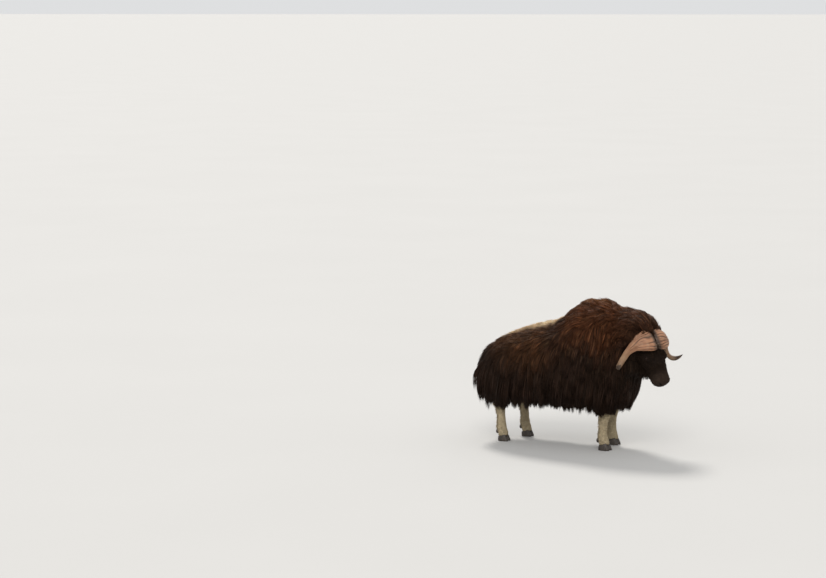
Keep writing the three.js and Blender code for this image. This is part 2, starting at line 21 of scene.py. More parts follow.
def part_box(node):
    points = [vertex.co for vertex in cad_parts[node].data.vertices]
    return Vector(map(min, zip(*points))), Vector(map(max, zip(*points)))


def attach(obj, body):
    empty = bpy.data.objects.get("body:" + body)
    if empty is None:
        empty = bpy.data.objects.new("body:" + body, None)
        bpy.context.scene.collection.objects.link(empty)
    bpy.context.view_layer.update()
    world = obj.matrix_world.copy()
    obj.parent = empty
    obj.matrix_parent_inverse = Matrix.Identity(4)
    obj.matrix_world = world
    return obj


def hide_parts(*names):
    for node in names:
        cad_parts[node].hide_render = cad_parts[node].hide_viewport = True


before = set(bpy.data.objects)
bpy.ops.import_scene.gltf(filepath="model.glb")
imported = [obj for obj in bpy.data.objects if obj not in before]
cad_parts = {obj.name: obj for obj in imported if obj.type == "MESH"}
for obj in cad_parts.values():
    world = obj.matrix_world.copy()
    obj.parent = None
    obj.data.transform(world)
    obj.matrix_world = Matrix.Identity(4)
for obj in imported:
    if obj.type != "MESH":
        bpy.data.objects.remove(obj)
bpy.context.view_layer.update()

log = logging.getLogger("muskox")
Array = np.ndarray

BODY = "root"
LEFT, RIGHT = 1.0, -1.0
SIDES = (("left", LEFT), ("right", RIGHT))
BACK = np.array([-1.0, 0.0, 0.0])
DOWN = np.array([0.0, 0.0, -1.0])


# Small tools for arrays of points


def unit(vectors: Array) -> Array:
    """Vectors scaled to length 1."""
    return vectors / np.maximum(np.linalg.norm(vectors, axis=-1, keepdims=True), 1e-9)


def dot(first: Array, second: Array) -> Array:
    """Dot products, kept as a column."""
    return np.sum(first * second, axis=-1, keepdims=True)


def ease(value: Array, start: float, end: float) -> Array:
    """A smooth rise from 0 at start to 1 at end, also where end is below start."""
    share = np.clip((value - start) / (end - start), 0, 1)
    return share * share * (3 - 2 * share)


def mix(first: Array, second: Array, share: Array) -> Array:
    """first where share is 0, second where it is 1."""
    return first + (second - first) * share


def spline(knots: Array, share: Array) -> Array:
    """Points of a smooth curve.

    Args:
        knots: The rows that the curve passes through.
        share: Places along it, from 0 to 1, evenly shared out over the knots.

    Returns:
        One row for each share.
    """
    place = np.clip(share, 0, 1) * (len(knots) - 1)
    first = np.minimum(place.astype(int), len(knots) - 2)
    t = (place - first)[:, None]
    ends = np.vstack([2 * knots[0] - knots[1], knots, 2 * knots[-1] - knots[-2]])
    a, b, c, d = (ends[first + k] for k in range(4))
    return b + 0.5 * t * ((c - a) + t * (2 * a - 5 * b + 4 * c - d + t * (3 * (b - c) + d - a)))


def ripple(points: Array, size: float, seed: int) -> Array:
    """Smooth unevenness over space.

    Args:
        points: Where to read it.
        size: The rough width of one swell, in metres.
        seed: Which pattern.

    Returns:
        Numbers from about -1 to 1.
    """
    waves = 7
    rng = np.random.default_rng(seed)
    heading = unit(rng.normal(size=(waves, 3))) * (math.pi / size) * rng.uniform(0.6, 1.5, (waves, 1))
    return np.sin(points @ heading.T + rng.uniform(0, 2 * math.pi, waves)).sum(1) / math.sqrt(2 * waves)


def smudge(points: Array, centre: tuple[float, ...], radii: tuple[float, ...]) -> Array:
    """A soft spot that is 1 at its centre and fades out at about twice its radii."""
    return np.exp(-(((points - centre) / radii) ** 2).sum(1))


def ridge(value: Array, middle: float, width: float) -> Array:
    """A soft ridge that is 1 where value is middle and fades out at about twice its width."""
    return np.exp(-(((value - middle) / width) ** 2))


# Swept forms


@dataclass(frozen=True)
class Station:
    """A section of a swept form: its centre, and how far the surface reaches from it."""

    x: float
    y: float
    z: float
    wide: float
    up: float
    down: float | None = None

    @property
    def reach(self) -> list[float]:
        """Half width, rise and fall."""
        return [self.wide, self.up, self.up if self.down is None else self.down]


def sections(rows: list[tuple[float, ...]], hand: float = LEFT) -> list[Station]:
    """Stations from rows of x, y, z, half width, rise and, where it differs, fall.

    Args:
        rows: The rows, for the left side.
        hand: LEFT, or RIGHT for the mirror image.

    Returns:
        One station for each row.
    """
    return [Station(x, hand * y, z, *reach) for x, y, z, *reach in rows]


class Sweep:
    """A closed form swept through stations."""

    def __init__(self, stations: list[Station], side: tuple[float, ...] = (0, 1, 0), square: float = 1,
                 cup: float = 0) -> None:
        """Keeps the sections as arrays.

        Args:
            stations: The sections, in order.
            side: The direction of a section's width.
            square: Below 1 a section is fuller than an ellipse.
            cup: How far a section's edges bend up, as a share of its half width.
        """
        self.axis = np.array([[s.x, s.y, s.z] for s in stations])
        self.reach = np.array([s.reach for s in stations])
        self.side = np.array(side, float)
        self.square = square
        self.cup = cup

    def surface(self, share: Array, angle: Array) -> Array:
        """Points of the surface.

        Args:
            share: Places along the form, from 0 to 1.
            angle: Turns round it: 0 is up, and a quarter turn is the side direction.

        Returns:
            One point for each pair.
        """
        step = 1e-4
        forward = unit(spline(self.axis, share + step) - spline(self.axis, share - step))
        side = unit(self.side - forward * dot(forward, self.side))
        up = np.cross(forward, side)
        wide, rise, fall = spline(self.reach, share).T[:, :, None]
        across, over = (np.sign(v) * np.abs(v) ** self.square for v in (np.sin(angle), np.cos(angle)))
        across, over = across[:, None], over[:, None]
        height = np.where(over > 0, rise, fall) * over + self.cup * wide * across**2
        return spline(self.axis, share) + side * wide * across + up * height

    def tube(self, rings: int, sides: int) -> bpy.types.Mesh:
        """The form as a closed mesh, with its places along and round kept as attributes.

        Args:
            rings: How many sections it has.
            sides: How many points a section has.

        Returns:
            A mesh with the point attributes Along, from 0 to 1, and Round, in radians.
        """
        bm = bmesh.new()
        bmesh.ops.create_cone(bm, cap_ends=True, segments=sides, radius1=1, radius2=1, depth=1)
        uprights = [e for e in bm.edges if abs(e.verts[0].co.z - e.verts[1].co.z) > 0.5]
        bmesh.ops.subdivide_edges(bm, edges=uprights, cuts=rings - 2, use_grid_fill=True)
        mesh = to_mesh(bm, "tube")
        unplaced = points_of(mesh)
        share, angle = unplaced[:, 2] + 0.5, np.arctan2(unplaced[:, 0], unplaced[:, 1])
        set_points(mesh, self.surface(share, angle))
        add_values(mesh, "Along", share)
        add_values(mesh, "Round", angle)
        return outward(mesh)


# Small tools for meshes


def to_mesh(bm: bmesh.types.BMesh, name: str) -> bpy.types.Mesh:
    """A bmesh as a mesh.

    Args:
        bm: The bmesh, which is freed.
        name: The mesh's name.

    Returns:
        A new mesh.
    """
    mesh = bpy.data.meshes.new(name)
    bm.to_mesh(mesh)
    bm.free()
    return mesh


def from_mesh(mesh: bpy.types.Mesh) -> bmesh.types.BMesh:
    """A mesh as a new bmesh."""
    bm = bmesh.new()
    bm.from_mesh(mesh)
    return bm


def linked(name: str, data: bpy.types.ID) -> bpy.types.Object:
    """A new object in the scene."""
    made = bpy.data.objects.new(name, data)
    bpy.context.scene.collection.objects.link(made)
    return made


def rows_of(mesh: bpy.types.Mesh, name: str) -> Array:
    """A vector of each vertex, its place or its normal, as rows."""
    flat = np.empty(len(mesh.vertices) * 3, np.float32)
    mesh.vertices.foreach_get(name, flat)
    return flat.reshape(-1, 3).astype(float)


def points_of(mesh: bpy.types.Mesh) -> Array:
    """The vertices of a mesh as rows."""
    return rows_of(mesh, "co")


def normals_of(mesh: bpy.types.Mesh) -> Array:
    """The vertex normals of a mesh as rows."""
    return rows_of(mesh, "normal")


def set_points(mesh: bpy.types.Mesh, points: Array) -> None:
    """Moves the vertices of a mesh."""
    mesh.vertices.foreach_set("co", points.astype(np.float32).ravel())
    mesh.update()


def add_values(mesh: bpy.types.Mesh, name: str, values: Array) -> None:
    """Gives each vertex of a mesh a number."""
    mesh.attributes.new(name, "FLOAT", "POINT").data.foreach_set("value", values.astype(np.float32))


def read_values(mesh: bpy.types.Mesh, name: str) -> Array:
    """The numbers that add_values gave a mesh."""
    flat = np.empty(len(mesh.vertices), np.float32)
    mesh.attributes[name].data.foreach_get("value", flat)
    return flat.astype(float)


def add_vectors(mesh: bpy.types.Mesh, name: str, rows: Array) -> None:
    """Gives each vertex of a mesh a vector."""
    made = mesh.attributes.new(name, "FLOAT_VECTOR", "POINT")
    made.data.foreach_set("vector", rows.astype(np.float32).ravel())


def add_colours(mesh: bpy.types.Mesh, name: str, colours: Array) -> None:
    """Gives each vertex of a mesh a colour.

    Args:
        mesh: The mesh.
        name: The attribute's name.
        colours: Linear red, green and blue, one row for each vertex.
    """
    rows = np.ones((len(colours), 4), np.float32)
    rows[:, :3] = colours
    made = mesh.color_attributes.new(name=name, type="FLOAT_COLOR", domain="POINT")
    made.data.foreach_set("color", rows.ravel())


def add_uv(mesh: bpy.types.Mesh, name: str, rows: Array) -> None:
    """Gives a mesh a UV map.

    Args:
        mesh: The mesh.
        name: The map's name.
        rows: One pair for each vertex.
    """
    corner = np.empty(len(mesh.loops), np.int32)
    mesh.loops.foreach_get("vertex_index", corner)
    mesh.uv_layers.new(name=name).data.foreach_set("uv", rows[corner].astype(np.float32).ravel())


def outward(mesh: bpy.types.Mesh) -> bpy.types.Mesh:
    """Turns the faces of a closed mesh outwards.

    Args:
        mesh: The mesh, which is changed.

    Returns:
        The same mesh.
    """
    bm = from_mesh(mesh)
    bmesh.ops.recalc_face_normals(bm, faces=bm.faces)
    bm.to_mesh(mesh)
    bm.free()
    return mesh


def ball(centre: tuple[float, ...], radii: tuple[float, ...], fine: int = 24) -> bpy.types.Mesh:
    """An ellipsoid.

    Args:
        centre: Its middle.
        radii: Its radii along the axes.
        fine: How many segments it has round.

    Returns:
        A closed mesh.
    """
    bm = bmesh.new()
    place = Matrix.Translation(centre) @ Matrix.Diagonal((*radii, 1))
    bmesh.ops.create_uvsphere(bm, u_segments=fine, v_segments=fine // 2, radius=1, matrix=place)
    return to_mesh(bm, "ball")


def joined(meshes: list[bpy.types.Mesh]) -> bpy.types.Mesh:
    """Several meshes as one.

    Args:
        meshes: The meshes, which stay as they are.

    Returns:
        A new mesh.
    """
    bm = bmesh.new()
    for mesh in meshes:
        bm.from_mesh(mesh)
    return to_mesh(bm, "joined")


def modified(mesh: bpy.types.Mesh, kind: str, **settings: object) -> bpy.types.Mesh:
    """A mesh with a modifier applied.

    Args:
        mesh: The mesh to start from.
        kind: The modifier's type.
        **settings: Its settings.

    Returns:
        A new mesh.
    """
    holder = linked("holder", mesh)
    modifier = holder.modifiers.new("step", kind)
    for name, value in settings.items():
        setattr(modifier, name, value)
    made = bpy.data.meshes.new_from_object(holder.evaluated_get(bpy.context.evaluated_depsgraph_get()))
    bpy.data.objects.remove(holder)
    return made


def fleshed(meshes: list[bpy.types.Mesh], voxel: float, rounds: int) -> bpy.types.Mesh:
    """Closed forms grown together into one smooth surface.

    Args:
        meshes: The forms, which overlap.
        voxel: How fine the surface is.
        rounds: How often it is smoothed.

    Returns:
        One closed mesh.
    """
    made = modified(joined(meshes), "REMESH", mode="VOXEL", voxel_size=voxel)
    bm = from_mesh(made)
    axes = {"use_axis_x": True, "use_axis_y": True, "use_axis_z": True}
    for _ in range(rounds):
        bmesh.ops.smooth_vert(bm, verts=bm.verts, factor=0.5, **axes)
    bm.to_mesh(made)
    bm.free()
    return made


def united(first: bpy.types.Mesh, second: bpy.types.Mesh) -> bpy.types.Mesh:
    """Two closed meshes as one, without what lies inside.

    Args:
        first: A mesh.
        second: Another that overlaps it.

    Returns:
        A new mesh.
    """
    other = linked("other", second)
    made = modified(first, "BOOLEAN", operation="UNION", solver="MANIFOLD", object=other)
    bpy.data.objects.remove(other)
    return made


# The animal's build, in the drawing's frame


@dataclass(frozen=True)
class Carriage:
    """How the head is held: the joint of skull and neck, and its turns in degrees."""

    poll: tuple[float, float, float] = (0.850, -0.060, 1.090)
    yaw: float = -24
    pitch: float = 52
    roll: float = 5

    @property
    def matrix(self) -> Matrix:
        """The way from the head's own frame to the drawing's.

        Returns:
            A matrix for points with X to the nose and Z out of the forehead.
        """
        place = Matrix.Translation(self.poll)
        for angle, axis in ((self.yaw, "Z"), (self.pitch, "Y"), (self.roll, "X")):
            place = place @ Matrix.Rotation(math.radians(angle), 4, axis)
        return place

    @property
    def turn(self) -> Array:
        """The turning part of the matrix."""
        return np.array(self.matrix.to_3x3())

    def placed(self, points: Array) -> Array:
        """Points of the head's frame in the drawing's."""
        return points @ self.turn.T + self.poll

    def local(self, points: Array) -> Array:
        """Points of the drawing's frame in the head's."""
        return (points - self.poll) @ self.turn

    def placed_turn(self, vectors: Array) -> Array:
        """Directions of the head's frame in the drawing's."""
        return vectors @ self.turn.T


HEAD = Carriage()
EYE = (0.204, 0.109, 0.030)
EYE_RADIUS = 0.019


def eye_centre(hand: float) -> Array:
    """The middle of an eyeball, in the head's frame."""
    return np.array([EYE[0], hand * EYE[1], EYE[2]])


def frame_shift() -> Vector:
    """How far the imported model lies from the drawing, worked out from the left eye."""
    low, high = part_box("eye_left")
    return (low + high) / 2 - HEAD.matrix @ Vector(EYE)


SHIFT = frame_shift()

# Stations of the trunk and the nape, out to the tips of the coat
TRUNK = sections([
    (-0.978, 0, 0.545, 0.010, 0.010),
    (-0.962, 0, 0.575, 0.180, 0.120, 0.160),
    (-0.905, 0, 0.635, 0.275, 0.185, 0.235),
    (-0.815, 0, 0.695, 0.338, 0.255, 0.305),
    (-0.715, 0, 0.735, 0.366, 0.308, 0.350),
    (-0.600, 0, 0.765, 0.380, 0.338, 0.382),
    (-0.450, 0, 0.785, 0.390, 0.370, 0.402),
    (-0.250, 0, 0.798, 0.398, 0.418, 0.416),
    (-0.050, 0, 0.805, 0.404, 0.458, 0.424),
    (0.110, 0, 0.810, 0.408, 0.552, 0.428),
    (0.250, 0, 0.815, 0.404, 0.630, 0.430),
    (0.380, 0, 0.820, 0.390, 0.645, 0.430),
    (0.520, 0, 0.825, 0.360, 0.612, 0.420),
    (0.640, 0, 0.850, 0.312, 0.520, 0.400),
    (0.740, 0, 0.860, 0.235, 0.370, 0.330),
    (0.790, 0, 0.850, 0.010, 0.010),
])
NAPE = sections([
    (0.400, 0, 1.000, 0.010, 0.010),
    (0.470, 0, 1.010, 0.220, 0.350, 0.300),
    (0.560, 0, 1.035, 0.296, 0.372, 0.380),
    (0.650, -0.008, 1.055, 0.300, 0.336, 0.370),
    (0.740, -0.028, 1.080, 0.282, 0.306, 0.360),
    (0.820, -0.050, 1.110, 0.256, 0.282, 0.300),
    (0.880, -0.068, 1.130, 0.215, 0.238, 0.240),
    (0.930, -0.085, 1.140, 0.140, 0.140, 0.150),
    (0.960, -0.095, 1.140, 0.010, 0.010),
])

# Stations of the face, in the head's frame
FACE = sections([
    (-0.095, 0, -0.020, 0.010, 0.010),
    (-0.070, 0, -0.020, 0.095, 0.078, 0.085),
    (-0.010, 0, -0.025, 0.130, 0.118, 0.118),
    (0.065, 0, -0.030, 0.139, 0.126, 0.134),
    (0.135, 0, -0.035, 0.134, 0.127, 0.130),
    (0.205, 0, -0.038, 0.120, 0.117, 0.113),
    (0.275, 0, -0.042, 0.099, 0.098, 0.097),
    (0.345, 0, -0.048, 0.090, 0.084, 0.086),
    (0.405, 0, -0.054, 0.087, 0.073, 0.075),
    (0.443, 0, -0.058, 0.078, 0.061, 0.060),
    (0.463, 0, -0.060, 0.050, 0.038, 0.038),
    (0.472, 0, -0.060, 0.010, 0.010),
])
FACE_SWEEP = Sweep(FACE, square=0.88)


@dataclass(frozen=True)
class CoatDepth:
    """How far the skin lies inside the tips of the coat.

    Along the body it is shortened towards middle, to the share front ahead of it and back behind it.
    """

    wide: float
    up: float
    down: float
    middle: float
    front: float = 0.935
    back: float = 0.885
    thinnest: float = 0.008

    def within(self, stations: list[Station]) -> list[Station]:
        """The skin's stations.

        Args:
            stations: Those of the coat's tips.

        Returns:
            One station for each.
        """
        made = []
        for s in stations:
            share = self.front if s.x > self.middle else self.back
            x = self.middle + (s.x - self.middle) * share
            inward = zip(s.reach, (self.wide, self.up, self.down))
            made.append(Station(x, s.y, s.z, *(max(reach - depth, self.thinnest) for reach, depth in inward)))
        return made


TRUNK_DEPTH = CoatDepth(0.060, 0.042, 0.105, -0.090)
NAPE_DEPTH = CoatDepth(0.050, 0.040, 0.060, 0.650)


class Foot(Enum):
    """Where each foot stands: X, Y, and whether it is a forefoot."""

    FRONT_LEFT = (0.395, 0.168, True)
    FRONT_RIGHT = (0.455, -0.165, True)
    HIND_LEFT = (-0.560, 0.178, False)
    HIND_RIGHT = (-0.640, -0.180, False)

    @property
    def node(self) -> str:
        """The foot's part of a node's name."""
        return self.name.lower()

    def stations(self) -> list[Station]:
        """Sections of the leg.

        Returns:
            Stations from inside the body down to the hoof.
        """
        x, y, fore = self.value
        if fore:
            rows = [
                (-0.010, 0.640, 0.080, 0.090, 0.090), (0, 0.520, 0.066, 0.072, 0.074),
                (0.002, 0.420, 0.056, 0.060, 0.060), (0.004, 0.345, 0.057, 0.060, 0.052),
                (0, 0.270, 0.045, 0.046, 0.046), (-0.002, 0.190, 0.042, 0.043, 0.045),
                (0, 0.120, 0.049, 0.049, 0.056), (0.006, 0.084, 0.050, 0.054, 0.048),
                (0.012, 0.050, 0.053, 0.056, 0.052),
            ]
        else:
            rows = [
                (0.060, 0.640, 0.085, 0.100, 0.100), (0.020, 0.530, 0.066, 0.078, 0.074),
                (-0.026, 0.430, 0.055, 0.056, 0.066), (-0.024, 0.340, 0.045, 0.046, 0.050),
                (-0.014, 0.220, 0.041, 0.042, 0.044), (-0.006, 0.130, 0.047, 0.047, 0.053),
                (0.004, 0.086, 0.047, 0.052, 0.046), (0.010, 0.050, 0.050, 0.054, 0.050),
            ]
        return [Station(x + dx, y, z, wide, up, down) for dx, z, wide, up, down in rows]


TAIL = sections([
    (-0.762, 0, 0.885, 0.008, 0.008),
    (-0.800, 0, 0.908, 0.028, 0.016),
    (-0.848, 0, 0.890, 0.038, 0.019),
    (-0.890, 0, 0.842, 0.038, 0.018),
    (-0.916, 0, 0.788, 0.024, 0.012),
    (-0.926, 0, 0.752, 0.003, 0.003),
])


# An ear from its root to its tip, and a horn from the parting to its tip, in the head's frame
EAR = [
    (-0.016, 0.105, 0.008, 0.006, 0.006),
    (-0.024, 0.132, 0.005, 0.020, 0.009),
    (-0.036, 0.168, -0.005, 0.032, 0.006),
    (-0.050, 0.212, -0.018, 0.029, 0.005),
    (-0.062, 0.254, -0.032, 0.016, 0.004),
    (-0.068, 0.276, -0.038, 0.003, 0.003),
]
HORN = [
    (0.058, 0.007, 0.108, 0.096, 0.024, 0.024),
    (0.060, 0.045, 0.113, 0.114, 0.036, 0.030),
    (0.056, 0.102, 0.103, 0.105, 0.039, 0.032),
    (0.051, 0.154, 0.071, 0.083, 0.038, 0.031),
    (0.056, 0.193, 0.020, 0.052, 0.031, 0.026),
    (0.068, 0.222, -0.038, 0.037, 0.026, 0.024),
    (0.092, 0.251, -0.092, 0.031, 0.023, 0.022),
    (0.124, 0.284, -0.132, 0.028, 0.021, 0.021),
    (0.154, 0.319, -0.148, 0.025, 0.019, 0.019),
    (0.176, 0.348, -0.130, 0.022, 0.018, 0.018),
    (0.188, 0.366, -0.090, 0.014, 0.013, 0.013),
    (0.192, 0.376, -0.042, 0.003, 0.003, 0.003),
]


# Colours of the coat, by place, for skin and hair alike


def srgb(code: str) -> Array:
    """A colour written as six hex digits, as linear light."""
    raw = np.array([int(code[k : k + 2], 16) for k in (0, 2, 4)]) / 255
    return np.where(raw <= 0.04045, raw / 12.92, ((raw + 0.055) / 1.055) ** 2.4)


@dataclass(frozen=True)
class Markings:
    """The colours of a bull's coat, painted rim light and painted shade among them, and where each lies."""

    flank: str = "261a15"
    hump: str = "4a2a19"
    # painted rim light: the pale tan of the hump's top where light from behind catches the hair
    crest: str = "7d5636"
    back: str = "452c1c"
    saddle: str = "ccaf8a"
    face: str = "211813"
    muzzle: str = "40342c"
    # dark bare skin of lips and nostrils; inside the nostril slits it is painted shade
    lips: str = "0f0c0b"
    stocking: str = "b7a789"
    rim: float = 0.006
    nostril_rim: float = 0.013
    lip_rim: float = 0.014

    def tint(self, points: Array) -> Array:
        """The coat's colour at points of the drawing's frame.

        Args:
            points: Places on or near the skin.

        Returns:
            Linear colours, one row for each point.
        """
        x, y, z = points.T
        local = HEAD.local(points)
        ahead, aside, over = local.T
        uneven = ripple(points, 0.22, 5)
        # painted shade: a soft dark spot behind and above the horns, where the bosses shade the hair
        painted_shade_behind_horns = smudge(local, (-0.06, 0.0, 0.06), (0.16, 0.26, 0.14))
        layers = [
            (self.hump, ease(z + 0.06 * uneven, 0.96, 1.28) * ease(x, -0.02, 0.25)),
            # painted rim light along the top of the hump
            (self.crest, 0.6 * ease(z, 1.34, 1.44) * ease(np.abs(y), 0.16, 0.03)),
            (self.back, ease(z + 0.05 * uneven, 0.86, 1.06) * ease(x, 0.12, -0.15)),
            # painted shade behind the horns, in the flank's dark colour
            (self.flank, 0.7 * painted_shade_behind_horns),
            (self.saddle, self.saddle_patch(points, uneven)),
            (self.face, ease(ahead - 0.3 * np.abs(aside), -0.05, 0.06) * ease(over, -0.3, -0.12)),
            (self.muzzle, 0.8 * ease(ahead, 0.33, 0.43) * ease(over, -0.2, -0.1)),
            # dark bare lips and nostril rims, with painted shade inside the nostril slits
            (self.lips, 0.9 * self.mouth_band(local)),
            (self.stocking, ease(z + 0.02 * uneven, 0.44, 0.36)),
        ]
        colour = np.tile(srgb(self.flank), (len(points), 1))
        for code, share in layers:
            colour = mix(colour, srgb(code), np.clip(share, 0, 1)[:, None])
        return colour

    def saddle_patch(self, points: Array, uneven: Array) -> Array:
        """How much of the pale saddle shows.

        Args:
            points: Places in the drawing's frame.
            uneven: How ragged its edge is at each.

        Returns:
            A share from 0 to 1 for each point.
        """
        x, y, z = points.T
        middle = ((x + 0.14) / 0.30) ** 2 + (np.abs(y) / 0.155) ** 2
        tail_end = ((x + 0.50) / 0.45) ** 2 + (np.abs(y) / 0.15) ** 2
        broad = ease(middle + 0.25 * uneven, 1.35, 0.20)
        narrow = 0.70 * ease(tail_end + 0.25 * uneven, 1.20, 0.35)
        return np.maximum(broad, narrow) * ease(z, 0.98, 1.08)

    def mouth_band(self, local: Array) -> Array:
        """The dark rims of mouth and nostrils, in the head's frame: dark bare skin, with painted shade inside
        the nostril slits.
        """
        gaps = [line_distance(local, nostril_line(hand)) for hand in (LEFT, RIGHT)]
        nostrils = sum(ease(gap, self.nostril_rim, self.rim) for gap in gaps)
        return np.clip(nostrils + ease(lip_distance(local), self.lip_rim, self.rim), 0, 1)


MARKINGS = Markings()


# The mouth's line and other features of the face, in the head's frame


@dataclass(frozen=True)
class Mouth:
    """The line of the mouth: where it starts and ends along the face, and how far round the face it lies."""

    corner: float = 0.66
    front: float = 0.985
    angle: float = 2.05
    steps: int = 14

    def line(self) -> Array:
        """The whole line.

        Returns:
            Points from the left corner round the front to the right one.
        """
        share = np.linspace(self.corner, self.front, self.steps)
        left = FACE_SWEEP.surface(share, np.full(self.steps, self.angle))
        right = FACE_SWEEP.surface(share, np.full(self.steps, -self.angle))
        return np.vstack([left, right[::-1]])


def line_distance(points: Array, line: Array) -> Array:
    """How far points are from a line of straight pieces.

    Args:
        points: The points.
        line: The ends of the pieces, in order.

    Returns:
        One distance for each point.
    """
    best = np.full(len(points), np.inf)
    for start, end in zip(line[:-1], line[1:]):
        along = end - start
        share = np.clip(((points - start) @ along) / max(along @ along, 1e-12), 0, 1)
        best = np.minimum(best, np.linalg.norm(points - start - share[:, None] * along, axis=1))
    return best


MOUTH_LINE = Mouth().line()


def nostril_line(hand: float) -> Array:
    """A nostril's slit, a slanting comma in the head's frame."""
    rows = ((0.458, 0.022, -0.052), (0.466, 0.032, -0.044), (0.462, 0.043, -0.034), (0.450, 0.055, -0.024),
            (0.436, 0.064, -0.022))
    return np.array([[x, hand * y, z] for x, y, z in rows])


def lip_distance(local: Array) -> Array:
    """How far points of the head's frame are from the mouth's line."""
    return line_distance(local, MOUTH_LINE)


# Skin


@dataclass
class Skin:
    """One skin for all the flesh: body, head, ears, legs and tail."""

    body_voxel: float = 0.012
    body_rounds: int = 5
    head_voxel: float = 0.0036
    head_rounds: int = 3
    trunk_grid: tuple[int, int] = (90, 72)
    tail_grid: tuple[int, int] = (40, 24)
    leg_grid: tuple[int, int] = (60, 32)
    face_grid: tuple[int, int] = (110, 72)
    ear_grid: tuple[int, int] = (40, 28)
    shade: float = 0.8
    face_fur: tuple[float, ...] = (90, 620, 620)
    body_fur: tuple[float, ...] = (560, 560, 80)
    lid_reach: float = 0.0235
    lid_shell: float = 0.0212
    socket_depth: float = 0.006
    eye_long: float = 0.0180
    eye_high: float = 0.0120

    def build(self) -> bpy.types.Object:
        """The skin as a dressed piece.

        Returns:
            The object, which stands for every node of flesh.
        """
        self.mesh = united(self.body(), self.head())
        self.mesh.name = "skin"
        points = points_of(self.mesh)
        add_colours(self.mesh, "Tint", self.shade * MARKINGS.tint(points))
        local = HEAD.local(points)
        on_face = (local[:, 0] > -0.02) & (points[:, 0] > 0.7)
        fur = np.where(on_face[:, None], local * self.face_fur, points * self.body_fur)
        add_vectors(self.mesh, "Fur", fur)
        flesh = ["head", "neck", "forequarters", "barrel", "hindquarters", "tail", "ear_left", "ear_right"]
        legs = [f"leg_{foot.node}" for foot in Foot]
        return piece("skin", self.mesh, SkinFinish().material(), [*flesh, *legs])

    def body(self) -> bpy.types.Mesh:
        """Trunk, neck, legs and tail grown together.

        Returns:
            One closed mesh, with the step between hump and nape filled.
        """
        fill = ball((0.40, -0.005, 1.20), (0.205, 0.27, 0.20), 48)
        forms = [
            Sweep(TRUNK_DEPTH.within(TRUNK), square=0.9).tube(*self.trunk_grid),
            Sweep(NAPE_DEPTH.within(NAPE), square=0.95).tube(*self.trunk_grid),
            Sweep(TAIL).tube(*self.tail_grid),
            fill,
        ]
        forms += [Sweep(foot.stations()).tube(*self.leg_grid) for foot in Foot]
        return fleshed(forms, self.body_voxel, self.body_rounds)

    def head(self) -> bpy.types.Mesh:
        """The head with its ears, lids, nostrils and mouth.

        Returns:
            One closed mesh, in the drawing's frame.
        """
        x, y, z = EYE
        nose = ball((0.428, 0, -0.040), (0.042, 0.074, 0.046))
        chin = ball((0.402, 0, -0.112), (0.052, 0.052, 0.026))
        forms = [FACE_SWEEP.tube(*self.face_grid), nose, chin]
        for hand in (LEFT, RIGHT):
            forms.append(ball((x - 0.006, hand * (y - 0.024), z + 0.002), (0.048, 0.038, 0.038)))
            forms.append(Sweep(sections(EAR, hand), side=(0, 0, hand), cup=-0.42).tube(*self.ear_grid))
        made = fleshed(forms, self.head_voxel, self.head_rounds)
        self.carve(made)
        set_points(made, HEAD.placed(points_of(made)))
        return made

    def carve(self, mesh: bpy.types.Mesh) -> None:
        """Shapes the face: hollows and swells first, then the mouth, the nostrils and the lids."""
        for moves in (self.muscles, self.mouth, self.nostrils, self.lids):
            set_points(mesh, moves(points_of(mesh), normals_of(mesh)))

    def muscles(self, points: Array, normals: Array) -> Array:
        """Cheek, jaw, bridge of the nose, the hollow before the eye and folds of loose hide.

        Args:
            points: The face before.
            normals: Its normals.

        Returns:
            The points moved.
        """
        moved = np.zeros(len(points))
        for hand in (LEFT, RIGHT):
            swells = [
                ((0.130, hand * 0.130, -0.070), (0.060, 0.040, 0.045), 0.008),
                ((0.075, hand * 0.130, -0.020), (0.050, 0.040, 0.040), 0.005),
                ((0.255, hand * 0.085, 0.008), (0.028, 0.030, 0.016), -0.007),
                ((0.310, hand * 0.090, -0.050), (0.045, 0.030, 0.022), -0.005),
                ((0.350, hand * 0.085, -0.085), (0.030, 0.030, 0.014), 0.004),
                ((0.425, hand * 0.060, -0.030), (0.024, 0.024, 0.022), 0.005),
                ((0.330, hand * 0.045, 0.030), (0.080, 0.016, 0.030), 0.003),
                ((0.230, hand * 0.070, 0.068), (0.030, 0.020, 0.020), 0.004),
            ]
            # The last number of a row is how high it stands, below 0 for a hollow
            for centre, radii, height in swells:
                moved += height * smudge(points, centre, radii)
        x, z = points[:, 0], points[:, 2]
        fold = np.sin(x * 260 + 4 * ripple(points, 0.05, 31)) * ease(z, -0.02, -0.10) * ease(x, 0.24, 0.10)
        moved += 0.0014 * fold + 0.0012 * ripple(points, 0.018, 32) + 0.0018 * ripple(points, 0.045, 33)
        return points + normals * moved[:, None]

    def mouth(self, points: Array, normals: Array) -> Array:
        """A groove for the mouth between two rolled lips.

        Args:
            points: The face before.
            normals: Its normals.

        Returns:
            The points moved.
        """
        gap = lip_distance(points)
        roll = 0.0034 * ridge(gap, 0.011, 0.006)
        groove = 0.0085 * ridge(gap, 0, 0.0042)
        return points + normals * (roll - groove)[:, None]

    def nostrils(self, points: Array, normals: Array) -> Array:
        """Two slanting commas with raised wings, and the groove between them.

        Args:
            points: The face before.
            normals: Its normals.

        Returns:
            The points moved.
        """
        moved = np.zeros(len(points))
        for hand in (LEFT, RIGHT):
            near = line_distance(points, nostril_line(hand))
            deep = ease(np.abs(points[:, 1]), 0.068, 0.040)
            moved -= 0.013 * deep * ridge(near, 0, 0.0060)
            moved += 0.0035 * ridge(near, 0.0125, 0.0055)
        philtrum = ridge(points[:, 1], 0, 0.0028) * ease(points[:, 0], 0.445, 0.462)
        moved -= 0.0025 * philtrum * ease(points[:, 2], -0.03, -0.05)
        return points + normals * moved[:, None]

